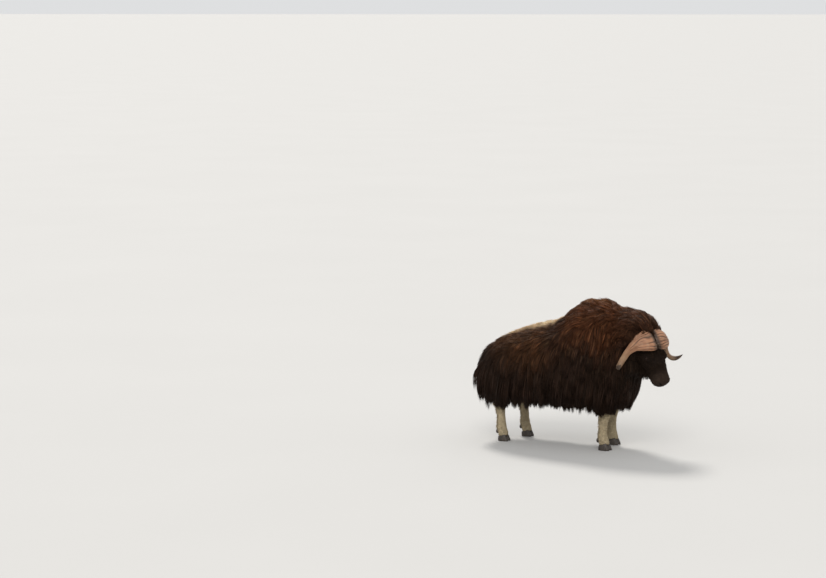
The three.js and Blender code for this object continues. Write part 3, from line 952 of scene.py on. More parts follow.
    def lids(self, points: Array, normals: Array) -> Array:
        """Lids stretched over the eyeballs, open in an almond, with a fold above and a bag below.

        Args:
            points: The face before.
            normals: Its normals, which the lids don't need, as they follow the eyeball.

        Returns:
            The points moved.
        """
        moved = points.copy()
        for hand in (LEFT, RIGHT):
            centre = eye_centre(hand)
            offset = moved - centre
            away = np.linalg.norm(offset, axis=1)
            at_lids, round_lids = away < 0.04, away < 0.06
            ahead, out, over = offset[:, 0], hand * offset[:, 1], offset[:, 2]
            facing = ease(out, -0.004, 0.006)
            near = facing * ease(away, self.lid_reach + 0.012, self.lid_reach - 0.003)
            shell = centre + unit(offset) * self.lid_shell
            moved = mix(moved, shell, near[:, None])
            almond = (ahead / self.eye_long) ** 2 + ((over - 0.1 * ahead) / self.eye_high) ** 2
            opening = facing * ease(almond, 1.10, 0.85) * at_lids
            inner = centre + unit(offset) * (EYE_RADIUS - self.socket_depth)
            moved = mix(moved, inner, opening[:, None])
            rim = facing * ridge(almond, 1.55, 0.42) * at_lids
            moved = moved + unit(offset) * (0.0022 * rim)[:, None]
            crease = ridge(almond, 4.2, 0.7) * ease(over, 0.0, 0.008) * facing
            bag = ridge(almond, 5.0, 0.8) * ease(over, 0.0, -0.008) * facing
            moved = moved - unit(offset) * ((0.0026 * crease + 0.0018 * bag) * round_lids)[:, None]
        return moved


# Finishes


class Graph:
    """A material's nodes, set one at a time."""

    def __init__(self, name: str) -> None:
        """Starts a material with a Principled shader.

        Args:
            name: The material's name.
        """
        self.material = bpy.data.materials.new(name)
        self.material.use_nodes = True
        self.nodes = self.material.node_tree.nodes
        self.shader = self.nodes["Principled BSDF"]

    def add(self, kind: str, inputs: dict[str | int, object] | None = None,
            **settings: object) -> bpy.types.Node:
        """Adds a node.

        Args:
            kind: The node's type, without ShaderNode.
            inputs: Values or sockets for its inputs, by name or number.
            **settings: Its own settings.

        Returns:
            The node.
        """
        made = self.nodes.new(f"ShaderNode{kind}")
        for name, value in settings.items():
            setattr(made, name, value)
        for name, value in (inputs or {}).items():
            self.put(made, name, value)
        return made

    def put(self, made: bpy.types.Node, name: str | int, value: object) -> None:
        """Sets or links one input of a node.

        Args:
            made: The node.
            name: The input's name or number.
            value: A value, or the socket to link.
        """
        if isinstance(value, bpy.types.NodeSocket):
            self.material.node_tree.links.new(value, made.inputs[name])
        else:
            made.inputs[name].default_value = value

    def dress(self, **inputs: object) -> bpy.types.Material:
        """Sets the shader's inputs, their names written with underscores.

        Args:
            **inputs: Values or sockets.

        Returns:
            The finished material.
        """
        for name, value in inputs.items():
            self.put(self.shader, name.replace("_", " "), value)
        return self.material

    def ramp(self, source: bpy.types.NodeSocket, stops: list[tuple[float, Array]]) -> bpy.types.NodeSocket:
        """Colours along a number.

        Args:
            source: The number, from 0 to 1.
            stops: Places and their colours.

        Returns:
            The colour's socket.
        """
        made = self.add("ValToRGB", {0: source})
        elements = made.color_ramp.elements
        while len(elements) < len(stops):
            elements.new(0.5)
        for element, (place, colour) in zip(elements, stops):
            element.position = place
            element.color = (*colour, 1)
        return made.outputs["Color"]

    def blend(self, share: object, first: object, second: object) -> bpy.types.NodeSocket:
        """Mixes two colours."""
        return self.add("Mix", {0: share, 6: first, 7: second}, data_type="RGBA").outputs[2]

    def attribute(self, name: str, output: str = "Fac") -> bpy.types.NodeSocket:
        """What the mesh keeps under a name."""
        return self.add("Attribute", attribute_name=name).outputs[output]

    def spread(self, source: bpy.types.NodeSocket, low: float, high: float, start: float,
               end: float) -> bpy.types.NodeSocket:
        """A number that runs from start to end while its source runs from low to high."""
        return self.add("MapRange", {0: source, 1: low, 2: high, 3: start, 4: end}).outputs[0]

    def reckon(self, operation: str, first: object, second: object) -> bpy.types.NodeSocket:
        """Two numbers added or multiplied."""
        return self.add("Math", {0: first, 1: second}, operation=operation).outputs[0]

    def dimmed(self, colour: bpy.types.NodeSocket, share: bpy.types.NodeSocket) -> bpy.types.NodeSocket:
        """A colour made darker or lighter."""
        return self.add("VectorMath", {0: colour, "Scale": share}, operation="SCALE").outputs[0]

    def bump(self, height: bpy.types.NodeSocket, strength: float, distance: float) -> bpy.types.NodeSocket:
        """A bump from a height, distance being its depth in metres."""
        inputs = {"Height": height, "Strength": strength, "Distance": distance}
        return self.add("Bump", inputs).outputs["Normal"]

    def noise(self, scale: float, detail: float, vector: bpy.types.NodeSocket | None = None,
              roughness: float = 0.6) -> bpy.types.NodeSocket:
        """Noise.

        Args:
            scale: How fine it is.
            detail: How many finer layers it has.
            vector: The coordinates that it follows, the object's own if none are given.
            roughness: How strong the finer layers are.

        Returns:
            The number's socket.
        """
        where = vector or self.add("TexCoord").outputs["Object"]
        inputs = {"Vector": where, "Scale": scale, "Detail": detail, "Roughness": roughness}
        return self.add("TexNoise", inputs).outputs["Fac"]

    def mapped(self, vector: bpy.types.NodeSocket, scale: tuple[float, float, float]) -> bpy.types.NodeSocket:
        """Coordinates, stretched."""
        return self.add("Mapping", {"Vector": vector, "Scale": scale}).outputs["Vector"]

    def stretched(self, uv_map: str, scale: tuple[float, float, float]) -> bpy.types.NodeSocket:
        """The coordinates of a UV map, stretched."""
        return self.mapped(self.add("UVMap", uv_map=uv_map).outputs["UV"], scale)


@dataclass(frozen=True)
class HairFinish:
    """Hair: the coat's own colour, streaked along each tuft."""

    name: str
    streaks: float = 0.50
    roughness: float = 0.58
    specular: float = 0.16
    gleam: tuple[float, ...] = (1.0, 0.74, 0.52, 1)

    def material(self) -> bpy.types.Material:
        """Builds the finish.

        Returns:
            The material.
        """
        g = Graph(self.name)
        tint = g.attribute("Tint", "Color")
        fibres = g.noise(1.0, 3, g.stretched("Strand", (70, 2.4, 1)), 0.7)
        streak = g.spread(fibres, 0.3, 0.7, 1 - self.streaks, 1 + self.streaks)
        return g.dress(Base_Color=g.dimmed(tint, streak), Roughness=self.roughness,
                       Normal=g.bump(fibres, 0.8, 0.0015), Specular_IOR_Level=self.specular,
                       Specular_Tint=self.gleam)


@dataclass(frozen=True)
class SkinFinish:
    """Hide under the coat, and short flat fur on face and legs."""

    roughness: float = 0.85
    specular: float = 0.12

    def material(self) -> bpy.types.Material:
        """Builds the finish.

        Returns:
            The material.
        """
        g = Graph("short_fur")
        tint = g.attribute("Tint", "Color")
        mottle = g.noise(38, 5)
        hairs = g.noise(1.0, 3, g.attribute("Fur", "Vector"), 0.7)
        shade = g.spread(mottle, 0.3, 0.7, 0.75, 1.2)
        streak = g.spread(hairs, 0.32, 0.68, 0.45, 1.5)
        colour = g.dimmed(tint, g.reckon("MULTIPLY", shade, streak))
        return g.dress(Base_Color=colour, Roughness=self.roughness, Normal=g.bump(hairs, 0.9, 0.0022),
                       Specular_IOR_Level=self.specular)


@dataclass(frozen=True)
class HornFinish:
    """Horn: salmon tan on the boss, greyer down the shaft, almost black at the tip, painted shade in its
    furrows.
    """

    parting: str = "26180f"
    boss: str = "b07d5c"
    shaft: str = "9c7a5a"
    low: str = "74593f"
    tip: str = "1b1512"
    grain: tuple[float, ...] = (0.150, 0.075, 0.042, 1)
    # painted shade: the dark brown laid into the horn's furrows
    painted_furrow_shade: tuple[float, ...] = (0.055, 0.027, 0.016, 1)
    worn: tuple[float, ...] = (0.54, 0.38, 0.25, 1)

    def material(self) -> bpy.types.Material:
        """Builds the finish.

        Returns:
            The material.
        """
        g = Graph("horn")
        stops = [(0.0, self.parting), (0.055, self.parting), (0.105, self.boss), (0.36, self.boss),
                 (0.55, self.shaft), (0.72, self.low), (0.88, self.tip)]
        base = g.ramp(g.attribute("Along"), [(place, srgb(code)) for place, code in stops])
        grain = g.noise(1.0, 6, g.stretched("Grain", (46, 3.4, 1)), 0.72)
        stain = g.noise(22, 4)
        streaked = g.blend(g.spread(grain, 0.42, 0.68, 0.0, 0.62), base, self.grain)
        # painted shade darkens the furrows, where the Furrow attribute is high
        furrow_shaded = g.blend(g.reckon("MULTIPLY", g.attribute("Furrow"), 1.1), streaked, self.painted_furrow_shade)
        colour = g.blend(g.spread(stain, 0.45, 0.75, 0.0, 0.30), furrow_shaded, self.worn)
        rough = g.spread(grain, 0.2, 0.8, 0.42, 0.70)
        return g.dress(Base_Color=colour, Roughness=rough, Normal=g.bump(grain, 0.9, 0.0022))


@dataclass(frozen=True)
class HoofFinish:
    """Hoof: dull dark horn with growth lines."""

    colour: str = "2b2521"
    worn: str = "6a5c4e"
    roughness: float = 0.5

    def material(self) -> bpy.types.Material:
        """Builds the finish.

        Returns:
            The material.
        """
        g = Graph("hoof")
        place = g.add("TexCoord").outputs["Object"]
        lines = g.noise(1.0, 4, g.mapped(place, (14, 14, 240)))
        fibres = g.noise(1.0, 3, g.mapped(place, (260, 260, 18)))
        share = g.spread(fibres, 0.4, 0.75, 0.0, 0.5)
        colour = g.blend(share, (*srgb(self.colour), 1), (*srgb(self.worn), 1))
        normal = g.bump(g.reckon("ADD", lines, fibres), 0.6, 0.001)
        return g.dress(Base_Color=colour, Roughness=self.roughness, Normal=normal)


@dataclass(frozen=True)
class EyeFinish:
    """A wet dark eye with a level pupil."""

    iris: str = "22130b"
    rim: str = "0f0907"
    pupil: str = "04060a"
    fleck_light: float = 2.2
    roughness: float = 0.12
    specular: float = 0.15
    wetness: float = 0.08

    def material(self) -> bpy.types.Material:
        """Builds the finish.

        Returns:
            The material.
        """
        g = Graph("eye")
        stops = [(0.0, self.iris), (0.62, self.iris), (0.78, self.rim), (1.0, self.rim)]
        base = g.ramp(g.attribute("Radial"), [(place, srgb(code)) for place, code in stops])
        fleck = (*(self.fleck_light * srgb(self.iris)), 1)
        lit = g.blend(g.spread(g.noise(900, 3), 0.4, 0.7, 0.0, 0.5), base, fleck)
        colour = g.blend(g.attribute("Slit"), g.blend(0.5, base, lit), (*srgb(self.pupil), 1))
        return g.dress(Base_Color=colour, Roughness=self.roughness, Specular_IOR_Level=self.specular,
                       Coat_Weight=self.wetness, Coat_Roughness=0.02)


def piece(name: str, mesh: bpy.types.Mesh, material: bpy.types.Material,
          nodes: list[str] | None = None) -> bpy.types.Object:
    """A mesh as a dressed piece of the animal, moved from the drawing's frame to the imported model's.

    Args:
        name: The piece's name.
        mesh: Its mesh, in the drawing's frame.
        material: Its finish.
        nodes: The nodes that the piece stands for.

    Returns:
        The object.
    """
    mesh.name = name
    mesh.transform(Matrix.Translation(SHIFT))
    mesh.polygons.foreach_set("use_smooth", np.ones(len(mesh.polygons), bool))
    mesh.materials.clear()
    mesh.materials.append(material)
    made = linked(name, mesh)
    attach(made, BODY)
    if nodes:
        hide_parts(*nodes)
    log.info("%s: %d faces", name, len(mesh.polygons))
    return made


# Horns, eyes and hooves


@dataclass
class Horns:
    """Two horns that meet in a broad furrowed boss, sweep down beside the face and hook up at the tips."""

    rings: int = 170
    sides: int = 236
    furrows: float = 17
    furrow_depth: float = 0.0062
    furrow_rise: float = 0.0022
    crack: float = 0.40
    fine_crack: float = 0.5

    def build(self) -> list[bpy.types.Object]:
        """Both horns.

        Returns:
            The left one and the right one.
        """
        finish = HornFinish().material()
        return [piece(f"horn_{side}_grain", self.horn(hand), finish, [f"horn_{side}"])
                for side, hand in SIDES]

    def horn(self, hand: float) -> bpy.types.Mesh:
        """One horn, with furrows that run along it and fade towards the tip.

        Args:
            hand: LEFT or RIGHT.

        Returns:
            A closed mesh, in the drawing's frame.
        """
        mesh = Sweep(sections(HORN, hand), side=(-hand, 0, 0), square=0.9).tube(self.rings, self.sides)
        along, angle = read_values(mesh, "Along"), read_values(mesh, "Round")
        points, normals = points_of(mesh), normals_of(mesh)
        drift = np.column_stack([along * 3.2, np.cos(angle), np.sin(angle)])
        wander = 1.5 * ripple(drift, 0.9, 41 + int(hand)) + 0.7 * ripple(drift, 0.33, 43)
        rough, ends = ease(along, 0.70, 0.20), ease(along, 0.0, 0.03)
        deep = np.clip(0.62 + 0.6 * ripple(drift, 0.55, 44), 0.12, 1.2)
        shallow = np.clip(0.35 + 0.6 * ripple(drift, 0.30, 45), 0.0, 0.9)
        wave = np.sin(self.furrows * angle / 2 + 1.3 * wander)
        fine_wave = np.sin(1.37 * self.furrows * angle + 3 * wander)
        cracks = np.maximum(deep * ridge(wave, 0, self.crack), shallow * ridge(fine_wave, 0, self.fine_crack))
        swell = np.abs(wave) - 0.8
        lumps = 0.0020 * ripple(points, 0.05, 47) + 0.0007 * ripple(points, 0.012, 48) * rough
        furrowed = rough * ends * (self.furrow_rise * swell - self.furrow_depth * cracks)
        raised = furrowed + lumps * ends * ease(along, 0.95, 0.4)
        set_points(mesh, HEAD.placed(points + normals * raised[:, None]))
        # Furrow marks the cracks, where the horn's finish paints shade
        add_values(mesh, "Furrow", np.clip(cracks, 0, 1) * np.maximum(rough, 0.15))
        add_uv(mesh, "Grain", np.column_stack([np.sin(angle / 2), along]))
        return mesh


@dataclass
class Eyes:
    """Eyeballs with a slight cornea and a level pupil."""

    fine: int = 72
    cornea: float = 0.0009
    slit_long: float = 0.0072
    slit_high: float = 0.0022

    def build(self) -> list[bpy.types.Object]:
        """Both eyes.

        Returns:
            The left one and the right one.
        """
        finish = EyeFinish().material()
        return [piece(f"eyeball_{side}", self.eyeball(hand), finish, [f"eye_{side}"])
                for side, hand in SIDES]

    def eyeball(self, hand: float) -> bpy.types.Mesh:
        """One eyeball, looking sideways and a little ahead.

        Args:
            hand: LEFT or RIGHT.

        Returns:
            A closed mesh, in the drawing's frame.
        """
        mesh = ball((0, 0, 0), (EYE_RADIUS,) * 3, self.fine)
        points = points_of(mesh)
        gaze = unit(np.array([0.34, hand * 0.93, 0.10]))
        level = unit(np.array([0.93, -hand * 0.34, 0.0]))
        toward = dot(points, gaze)[:, 0]
        across = points - toward[:, None] * gaze
        ahead, over = across @ level, across[:, 2]
        radial = np.linalg.norm(across, axis=1) / EYE_RADIUS
        front = toward > 0
        swell = self.cornea * ease(radial, 0.75, 0.3) * front
        slit = ease((ahead / self.slit_long) ** 2 + (over / self.slit_high) ** 2, 1.35, 0.75) * front
        set_points(mesh, HEAD.placed(points + unit(points) * swell[:, None] + eye_centre(hand)))
        add_values(mesh, "Radial", np.where(front, radial, 1))
        add_values(mesh, "Slit", slit)
        return mesh


@dataclass
class Hooves:
    """Cloven hooves with a rounded wall, a coronet and dewclaws."""

    high: float = 0.056
    sides: int = 48
    rings: int = 26

    def build(self) -> list[bpy.types.Object]:
        """The eight toes and the dewclaws.

        Returns:
            A piece for each toe, and one for all dewclaws.
        """
        finish = HoofFinish().material()
        made = []
        for foot in Foot:
            for side, hand in SIDES:
                node = f"toe_{foot.node}_{side}"
                made.append(piece(f"hoof_{foot.node}_{side}", self.toe(foot, hand), finish, [node]))
        made.append(piece("dewclaws", self.dewclaws(), finish))
        return made

    def toe(self, foot: Foot, hand: float) -> bpy.types.Mesh:
        """One toe, with a flat sole on the ground and a rounded top edge.

        Args:
            foot: The foot.
            hand: LEFT or RIGHT of its middle.

        Returns:
            A closed mesh, in the drawing's frame.
        """
        x, y, fore = foot.value
        long, wide = (0.066, 0.027) if fore else (0.060, 0.024)
        middle = y + hand * (wide + 0.0035)
        stations = [
            Station(x + 0.008, middle, self.high + 0.004, wide - 0.013, long - 0.034, 0.030),
            Station(x + 0.010, middle, self.high - 0.002, wide - 0.0055, long - 0.021, 0.041),
            Station(x + 0.011, middle, self.high * 0.72, wide - 0.0025, long - 0.013, 0.045),
            Station(x + 0.012, middle, self.high * 0.40, wide - 0.0012, long - 0.006, 0.047),
            Station(x + 0.014, middle, 0.004, wide - 0.0008, long - 0.001, 0.0475),
            Station(x + 0.014, middle, 0.000, wide - 0.003, long - 0.004, 0.0450),
        ]
        mesh = Sweep(stations, square=0.9).tube(self.rings, self.sides)
        points, normals = points_of(mesh), normals_of(mesh)
        above = points[:, 2]
        lines = 0.0005 * np.sin(above * 900 + 2 * ripple(points, 0.03, 61)) * ease(above, 0.003, 0.010)
        moved = points + normals * lines[:, None]
        moved[:, 2] = np.maximum(moved[:, 2], 0)
        set_points(mesh, moved)
        return mesh

    def dewclaws(self) -> bpy.types.Mesh:
        """Two small claws behind each fetlock.

        Returns:
            All of them as one mesh.
        """
        claws = []
        for foot in Foot:
            x, y, _ = foot.value
            for hand in (LEFT, RIGHT):
                claws.append(ball((x - 0.047, y + hand * 0.023, 0.094), (0.015, 0.012, 0.022)))
        return joined(claws)


# Coat

STOCKING_TOP = 0.455
EAR_REACH = 0.036
BEARD_LINE = -0.088
BEARD_END = 0.30


class Region(Enum):
    """Tracts of the coat, each a piece of the model."""

    HUMP = "hump"
    BACK = "back"
    RUMP = "rump"
    FLANK_LEFT = "flank_left"
    FLANK_RIGHT = "flank_right"
    SKIRT_LEFT = "skirt_left"
    SKIRT_RIGHT = "skirt_right"
    RUFF = "ruff"
    BEARD = "beard"
    FACE = "face"
    MUZZLE = "muzzle"
    EARS = "ears"
    STOCKING = "stockings"

    @property
    def place(self) -> int:
        """Its place in the list of regions."""
        return list(Region).index(self)


@dataclass(frozen=True)
class Tract:
    """How a region is haired.

    Gather is how far apart its locks are, and pull how much of the way a tuft's tip is drawn to its lock's.
    """

    region: Region
    tufts: int
    rings: int
    wide: float
    gather: float
    pull: float
    slot: str = "coat"

    @property
    def short(self) -> bool:
        """Whether the hair is too short to hang."""
        return self.region in (Region.FACE, Region.MUZZLE, Region.EARS, Region.STOCKING)


TRACTS = [
    Tract(Region.HUMP, 11200, 3, 0.0080, 0.055, 0.60),
    Tract(Region.BACK, 8800, 3, 0.0080, 0.042, 0.50),
    Tract(Region.RUMP, 8300, 3, 0.0085, 0.058, 0.60),
    Tract(Region.FLANK_LEFT, 9200, 3, 0.0085, 0.065, 0.62),
    Tract(Region.FLANK_RIGHT, 9600, 3, 0.0085, 0.065, 0.62),
    Tract(Region.SKIRT_LEFT, 8200, 3, 0.0088, 0.065, 0.66),
    Tract(Region.SKIRT_RIGHT, 8600, 3, 0.0088, 0.065, 0.66),
    Tract(Region.RUFF, 11200, 3, 0.0080, 0.055, 0.60),
    Tract(Region.BEARD, 2600, 3, 0.0068, 0.042, 0.62),
    Tract(Region.FACE, 12500, 2, 0.0036, 0.017, 0.30, "face_hair"),
    Tract(Region.MUZZLE, 6500, 2, 0.0026, 0.012, 0.20, "face_hair"),
    Tract(Region.EARS, 1500, 2, 0.0034, 0.017, 0.30, "face_hair"),
    Tract(Region.STOCKING, 6500, 2, 0.0050, 0.020, 0.25, "stocking"),
]


class DistanceField:
    """How far points are from the skin, and which way is out, read from a grid."""

    def __init__(self, tree: BVHTree, low: tuple[float, ...], high: tuple[float, ...], cell: float) -> None:
        """Measures the distance at each point of the grid.

        Args:
            tree: The skin.
            low: The grid's lowest corner.
            high: Its highest corner.
            cell: The spacing of its points.
        """
        self.low = np.array(low)
        self.cell = cell
        self.count = np.ceil((np.array(high) - low) / cell).astype(int) + 1
        places = np.stack(np.meshgrid(*(np.arange(n) for n in self.count), indexing="ij"), -1).reshape(-1, 3)
        depth = np.empty(len(places))
        for k, place in enumerate(places * cell + self.low):
            near, normal, _, away = tree.find_nearest(Vector(place))
            depth[k] = math.copysign(away, (Vector(place) - near).dot(normal))
        self.depth = depth.reshape(self.count)
        for axis in range(3):
            ahead, behind = (np.roll(self.depth, turn, axis) for turn in (-1, 1))
            self.depth = 0.5 * self.depth + 0.25 * (ahead + behind)
        self.slope = np.stack(np.gradient(self.depth, cell), -1)

    def read(self, grid: Array, points: Array) -> Array:
        """Values of a grid between its points.

        Args:
            grid: A number or a vector for each point of the grid.
            points: Where to read it.

        Returns:
            One value for each point.
        """
        place = np.clip((points - self.low) / self.cell, 0, self.count - 1.001)
        corner = place.astype(int)
        share = place - corner
        total = 0
        for step in np.ndindex(2, 2, 2):
            weight = np.prod(np.where(step, share, 1 - share), axis=1)
            i, j, k = (corner + step).T
            value = grid[i, j, k]
            total = total + (weight[:, None] * value if value.ndim > 1 else weight * value)
        return total

    def away(self, points: Array) -> Array:
        """How far each point is from the skin, below 0 inside it."""
        return self.read(self.depth, points)

    def out(self, points: Array) -> Array:
        """The way out from the skin at each point."""
        return unit(self.read(self.slope, points))


@dataclass
class Roots:
    """Roots of tufts on the skin: places, the skin's normals there, and places in the head's frame."""

    at: Array
    out: Array
    local: Array

    def only(self, chosen: Array) -> "Roots":
        """Some of the roots."""
        return Roots(self.at[chosen], self.out[chosen], self.local[chosen])


@dataclass
class Coat:
    """The whole coat, in tufts that are rooted in the skin and follow the lie of the hair.

    Lengths are those of the hair, depths how far its tips stand from the skin, and rises what some places
    have above that.
    """

    skin: bpy.types.Mesh
    horns: list[bpy.types.Object]
    seed: int = 11
    hem: float = 0.362
    wild_share: float = 0.06
    grizzled_share: float = 0.10
    patch: float = 0.003
    twist: float = 0.35
    strand_scale: tuple[float, float] = (12, 4)
    tuft_tone: float = 0.20
    lock_tone: float = 0.17
    root_to_tip: tuple[float, ...] = (0.32, 0.72, 1.10, 1.45)
    side_length: float = 0.25
    top_length: float = 0.145
    skirt_length: float = 0.17
    cheek_length: float = 0.052
    nose_length: float = 0.017
    muzzle_length: float = 0.0105
    brow_length: float = 0.026
    parting_length: float = 0.048
    neck_length: float = 0.20
    chin_length: float = 0.06
    tail_length: float = 0.27
    shin_length: float = 0.014
    knee_length: float = 0.055
    feather_length: float = 0.020
    side_depth: float = 0.056
    top_depth: float = 0.041
    crest_rise: float = 0.026
    nape_rise: float = 0.024
    skirt_rise: float = 0.020
    rear_rise: float = 0.026

    def __post_init__(self) -> None:
        """Reads the skin's shape."""
        skin = self.skin
        skin.calc_loop_triangles()
        corners = np.empty(len(skin.loop_triangles) * 3, np.int32)
        skin.loop_triangles.foreach_get("vertices", corners)
        self.points = points_of(skin) - np.array(SHIFT)
        self.normals = normals_of(skin)
        self.faces = corners.reshape(-1, 3)
        tree = BVHTree.FromPolygons(self.points.tolist(), self.faces.tolist())
        self.field = DistanceField(tree, (-1.12, -0.52, 0.30), (1.14, 0.50, 1.50), 0.024)
        self.horn_trees = [
            BVHTree.FromPolygons([v.co - SHIFT for v in mesh.vertices], [p.vertices for p in mesh.polygons])
            for mesh in (horn.data for horn in self.horns)
        ]
        a, b, c = (self.points[self.faces[:, k]] for k in range(3))
        self.areas = np.linalg.norm(np.cross(b - a, c - a), axis=1) / 2
        middles = (a + b + c) / 3
        outs = unit(self.normals[self.faces].mean(1))
        self.face_roots = Roots(middles, outs, HEAD.local(middles))
        self.region = self.regions(self.face_roots)

    def build(self) -> list[bpy.types.Object]:
        """Every tract of the coat.

        Returns:
            One piece for each.
        """
        finishes = {
            "coat": HairFinish("long_hair").material(),
            "face_hair": HairFinish("face_hair", roughness=0.62).material(),
            "stocking": HairFinish("stocking_hair", streaks=0.22, roughness=0.66).material(),
        }
        made = []
        for k, tract in enumerate(TRACTS):
            rng = np.random.default_rng(self.seed + k)
            mesh = self.tract_mesh(tract, rng)
            made.append(piece(f"coat_{tract.region.value}", mesh, finishes[tract.slot]))
        return made

    def on_head(self, roots: Roots) -> Array:
        """Which roots lie in front of the plane behind the ears and of that between jaw and chest."""
        behind_ears = roots.local @ unit(np.array([0.947, 0, 0.32])) > -0.0637
        before_chest = (roots.at - (0.705, 0, 0.890)) @ unit(np.array([0.868, 0, 0.494])) > 0
        return behind_ears & before_chest

    def on_ear(self, roots: Roots) -> Array:
        """Which roots lie on the ears."""
        return (self.ear_gap(roots) < EAR_REACH) & (np.abs(roots.local[:, 1]) > 0.142)

    def ear_gap(self, roots: Roots) -> Array:
        """How far roots are from the nearer ear's middle line."""
        lines = (Sweep(sections(EAR, hand)).axis for hand in (LEFT, RIGHT))
        return np.minimum(*(line_distance(roots.local, line) for line in lines))

    def regions(self, roots: Roots) -> Array:
        """The region of each root.

        Args:
            roots: Roots anywhere on the skin.

        Returns:
            Its place in the list of regions, for each.
        """
        x, y, z = roots.at.T
        ahead, _, over = roots.local.T
        head = self.on_head(roots)
        left = y > 0
        rules = [
            (Region.STOCKING, z < STOCKING_TOP),
            (Region.EARS, self.on_ear(roots)),
            (Region.BEARD, head & (ahead > 0.0) & (ahead < BEARD_END) & (over < BEARD_LINE)),
            (Region.MUZZLE, head & (ahead > 0.30)),
            (Region.FACE, head & (ahead > 0.0)),
            (Region.RUFF, head | (x > 0.66) | ((x > 0.58) & (z < 0.95))),
            (Region.RUMP, x < -0.70),
            (Region.HUMP, (x > 0.0) & (z > 1.14)),
            (Region.BACK, z > 1.02),
            (Region.SKIRT_LEFT, left & (z < 0.77)),
            (Region.SKIRT_RIGHT, z < 0.77),
            (Region.FLANK_LEFT, left),
            (Region.FLANK_RIGHT, np.ones(len(x), bool)),
        ]
        return np.select([rule for _, rule in rules], [region.place for region, _ in rules])

    def sprout(self, tract: Tract, rng: np.random.Generator) -> Roots:
        """Roots of one tract, evenly strewn over its part of the skin.

        Args:
            tract: The tract.
            rng: Its random draws.

        Returns:
            The roots that aren't under a horn, in an eye or in the mouth.
        """
        weight = self.areas * (self.region == tract.region.place) * self.density(self.face_roots)
        total = np.cumsum(weight)
        steps = (np.arange(tract.tufts) + rng.uniform(0, 1, tract.tufts)) / tract.tufts
        face = np.searchsorted(total, steps * total[-1]).clip(0, len(total) - 1)
        u, v = rng.uniform(0, 1, (2, tract.tufts, 1))
        fold = u + v > 1
        u, v = np.where(fold, 1 - u, u), np.where(fold, 1 - v, v)
        share = np.concatenate([1 - u - v, u, v], axis=1)[:, :, None]
        corners = self.faces[face]
        at = (self.points[corners] * share).sum(1)
        out = unit((self.normals[corners] * share).sum(1))
        roots = Roots(at, out, HEAD.local(at))
        return roots.only(self.clear(roots))

    def density(self, roots: Roots) -> Array:
        """How thickly hair grows: less under the belly, more on top and between the horns.

        Args:
            roots: Roots anywhere on the skin.

        Returns:
            A factor for each.
        """
        up = roots.out[:, 2]
        belly = ease(up, -0.35, -0.8) * (roots.at[:, 2] > 0.45)
        return (1 - 0.85 * belly) * (1 + 0.5 * ease(up, 0.2, 0.9)) * (1 + 3 * self.in_parting(roots))

    def clear(self, roots: Roots) -> Array:
        """Which roots are free of horns, eyes, mouth and nostrils.

        Args:
            roots: The roots.

        Returns:
            True or False for each.
        """
        free = np.ones(len(roots.at), bool)
        for hand in (LEFT, RIGHT):
            ahead, out, over = (roots.local - eye_centre(hand)).T
            almond = (ahead / 0.022) ** 2 + (over / 0.0145) ** 2
            free &= (almond > 1) | (np.abs(out) > 0.05)
            free &= line_distance(roots.local, nostril_line(hand)) > 0.008
        free &= lip_distance(roots.local) > 0.006
        near = np.flatnonzero(self.on_head(roots) & free & (roots.local[:, 0] > 0.005))
        for k in near:
            place = Vector(roots.at[k])
            for tree in self.horn_trees:
                spot, normal, _, _ = tree.find_nearest(place)
                if (place - spot).dot(normal) < 0.001:
                    free[k] = False
        return free

    def lie(self, at: Array, out: Array, head: Array, ear: Array) -> Array:
        """Which way hair lies, along the surface.

        Args:
            at: Places in the drawing's frame.
            out: The way out of the skin there.
            head: Whether each belongs to the face.
            ear: Whether each belongs to an ear.

        Returns:
            Directions of length 1 in the surface.
        """
        x, y = at[:, 0], at[:, 1]
        top = ease(out[:, 2], 0.20, 0.80)
        middle = -0.1 * ease(x, 0.55, 0.95)
        back = 0.24 + 0.95 * top - 0.20 * ease(x, 0.55, 0.80) * (1 - top)
        front = ease(out @ unit(np.array([0.7, 0, 0.7])), 0.35, 0.75) * ease(x, 0.70, 0.84)
        wish = back[:, None] * BACK + (1 - 0.92 * top)[:, None] * DOWN
        wish = mix(wish, np.array([-0.75, 0.0, 0.65]), front[:, None])
        wish[:, 1] += 0.38 * np.maximum(top, front) * np.tanh((y - middle) / 0.16)
        wish += 0.16 * np.stack([ripple(at, 0.16, seed) for seed in (71, 72, 73)], 1)
        over_face = HEAD.placed_turn(np.array([[-1.0, 0.0, 0.0]])) + 0.45 * DOWN
        wish = np.where(head[:, None], over_face, wish)
        aside = np.sign(HEAD.local(at)[:, 1])
        over_ear = HEAD.placed_turn(np.column_stack([-0.3 + 0 * aside, 0.9 * aside, -0.3 + 0 * aside]))
        wish = np.where(ear[:, None], over_ear, wish)
        return unit(wish - out * dot(wish, out))

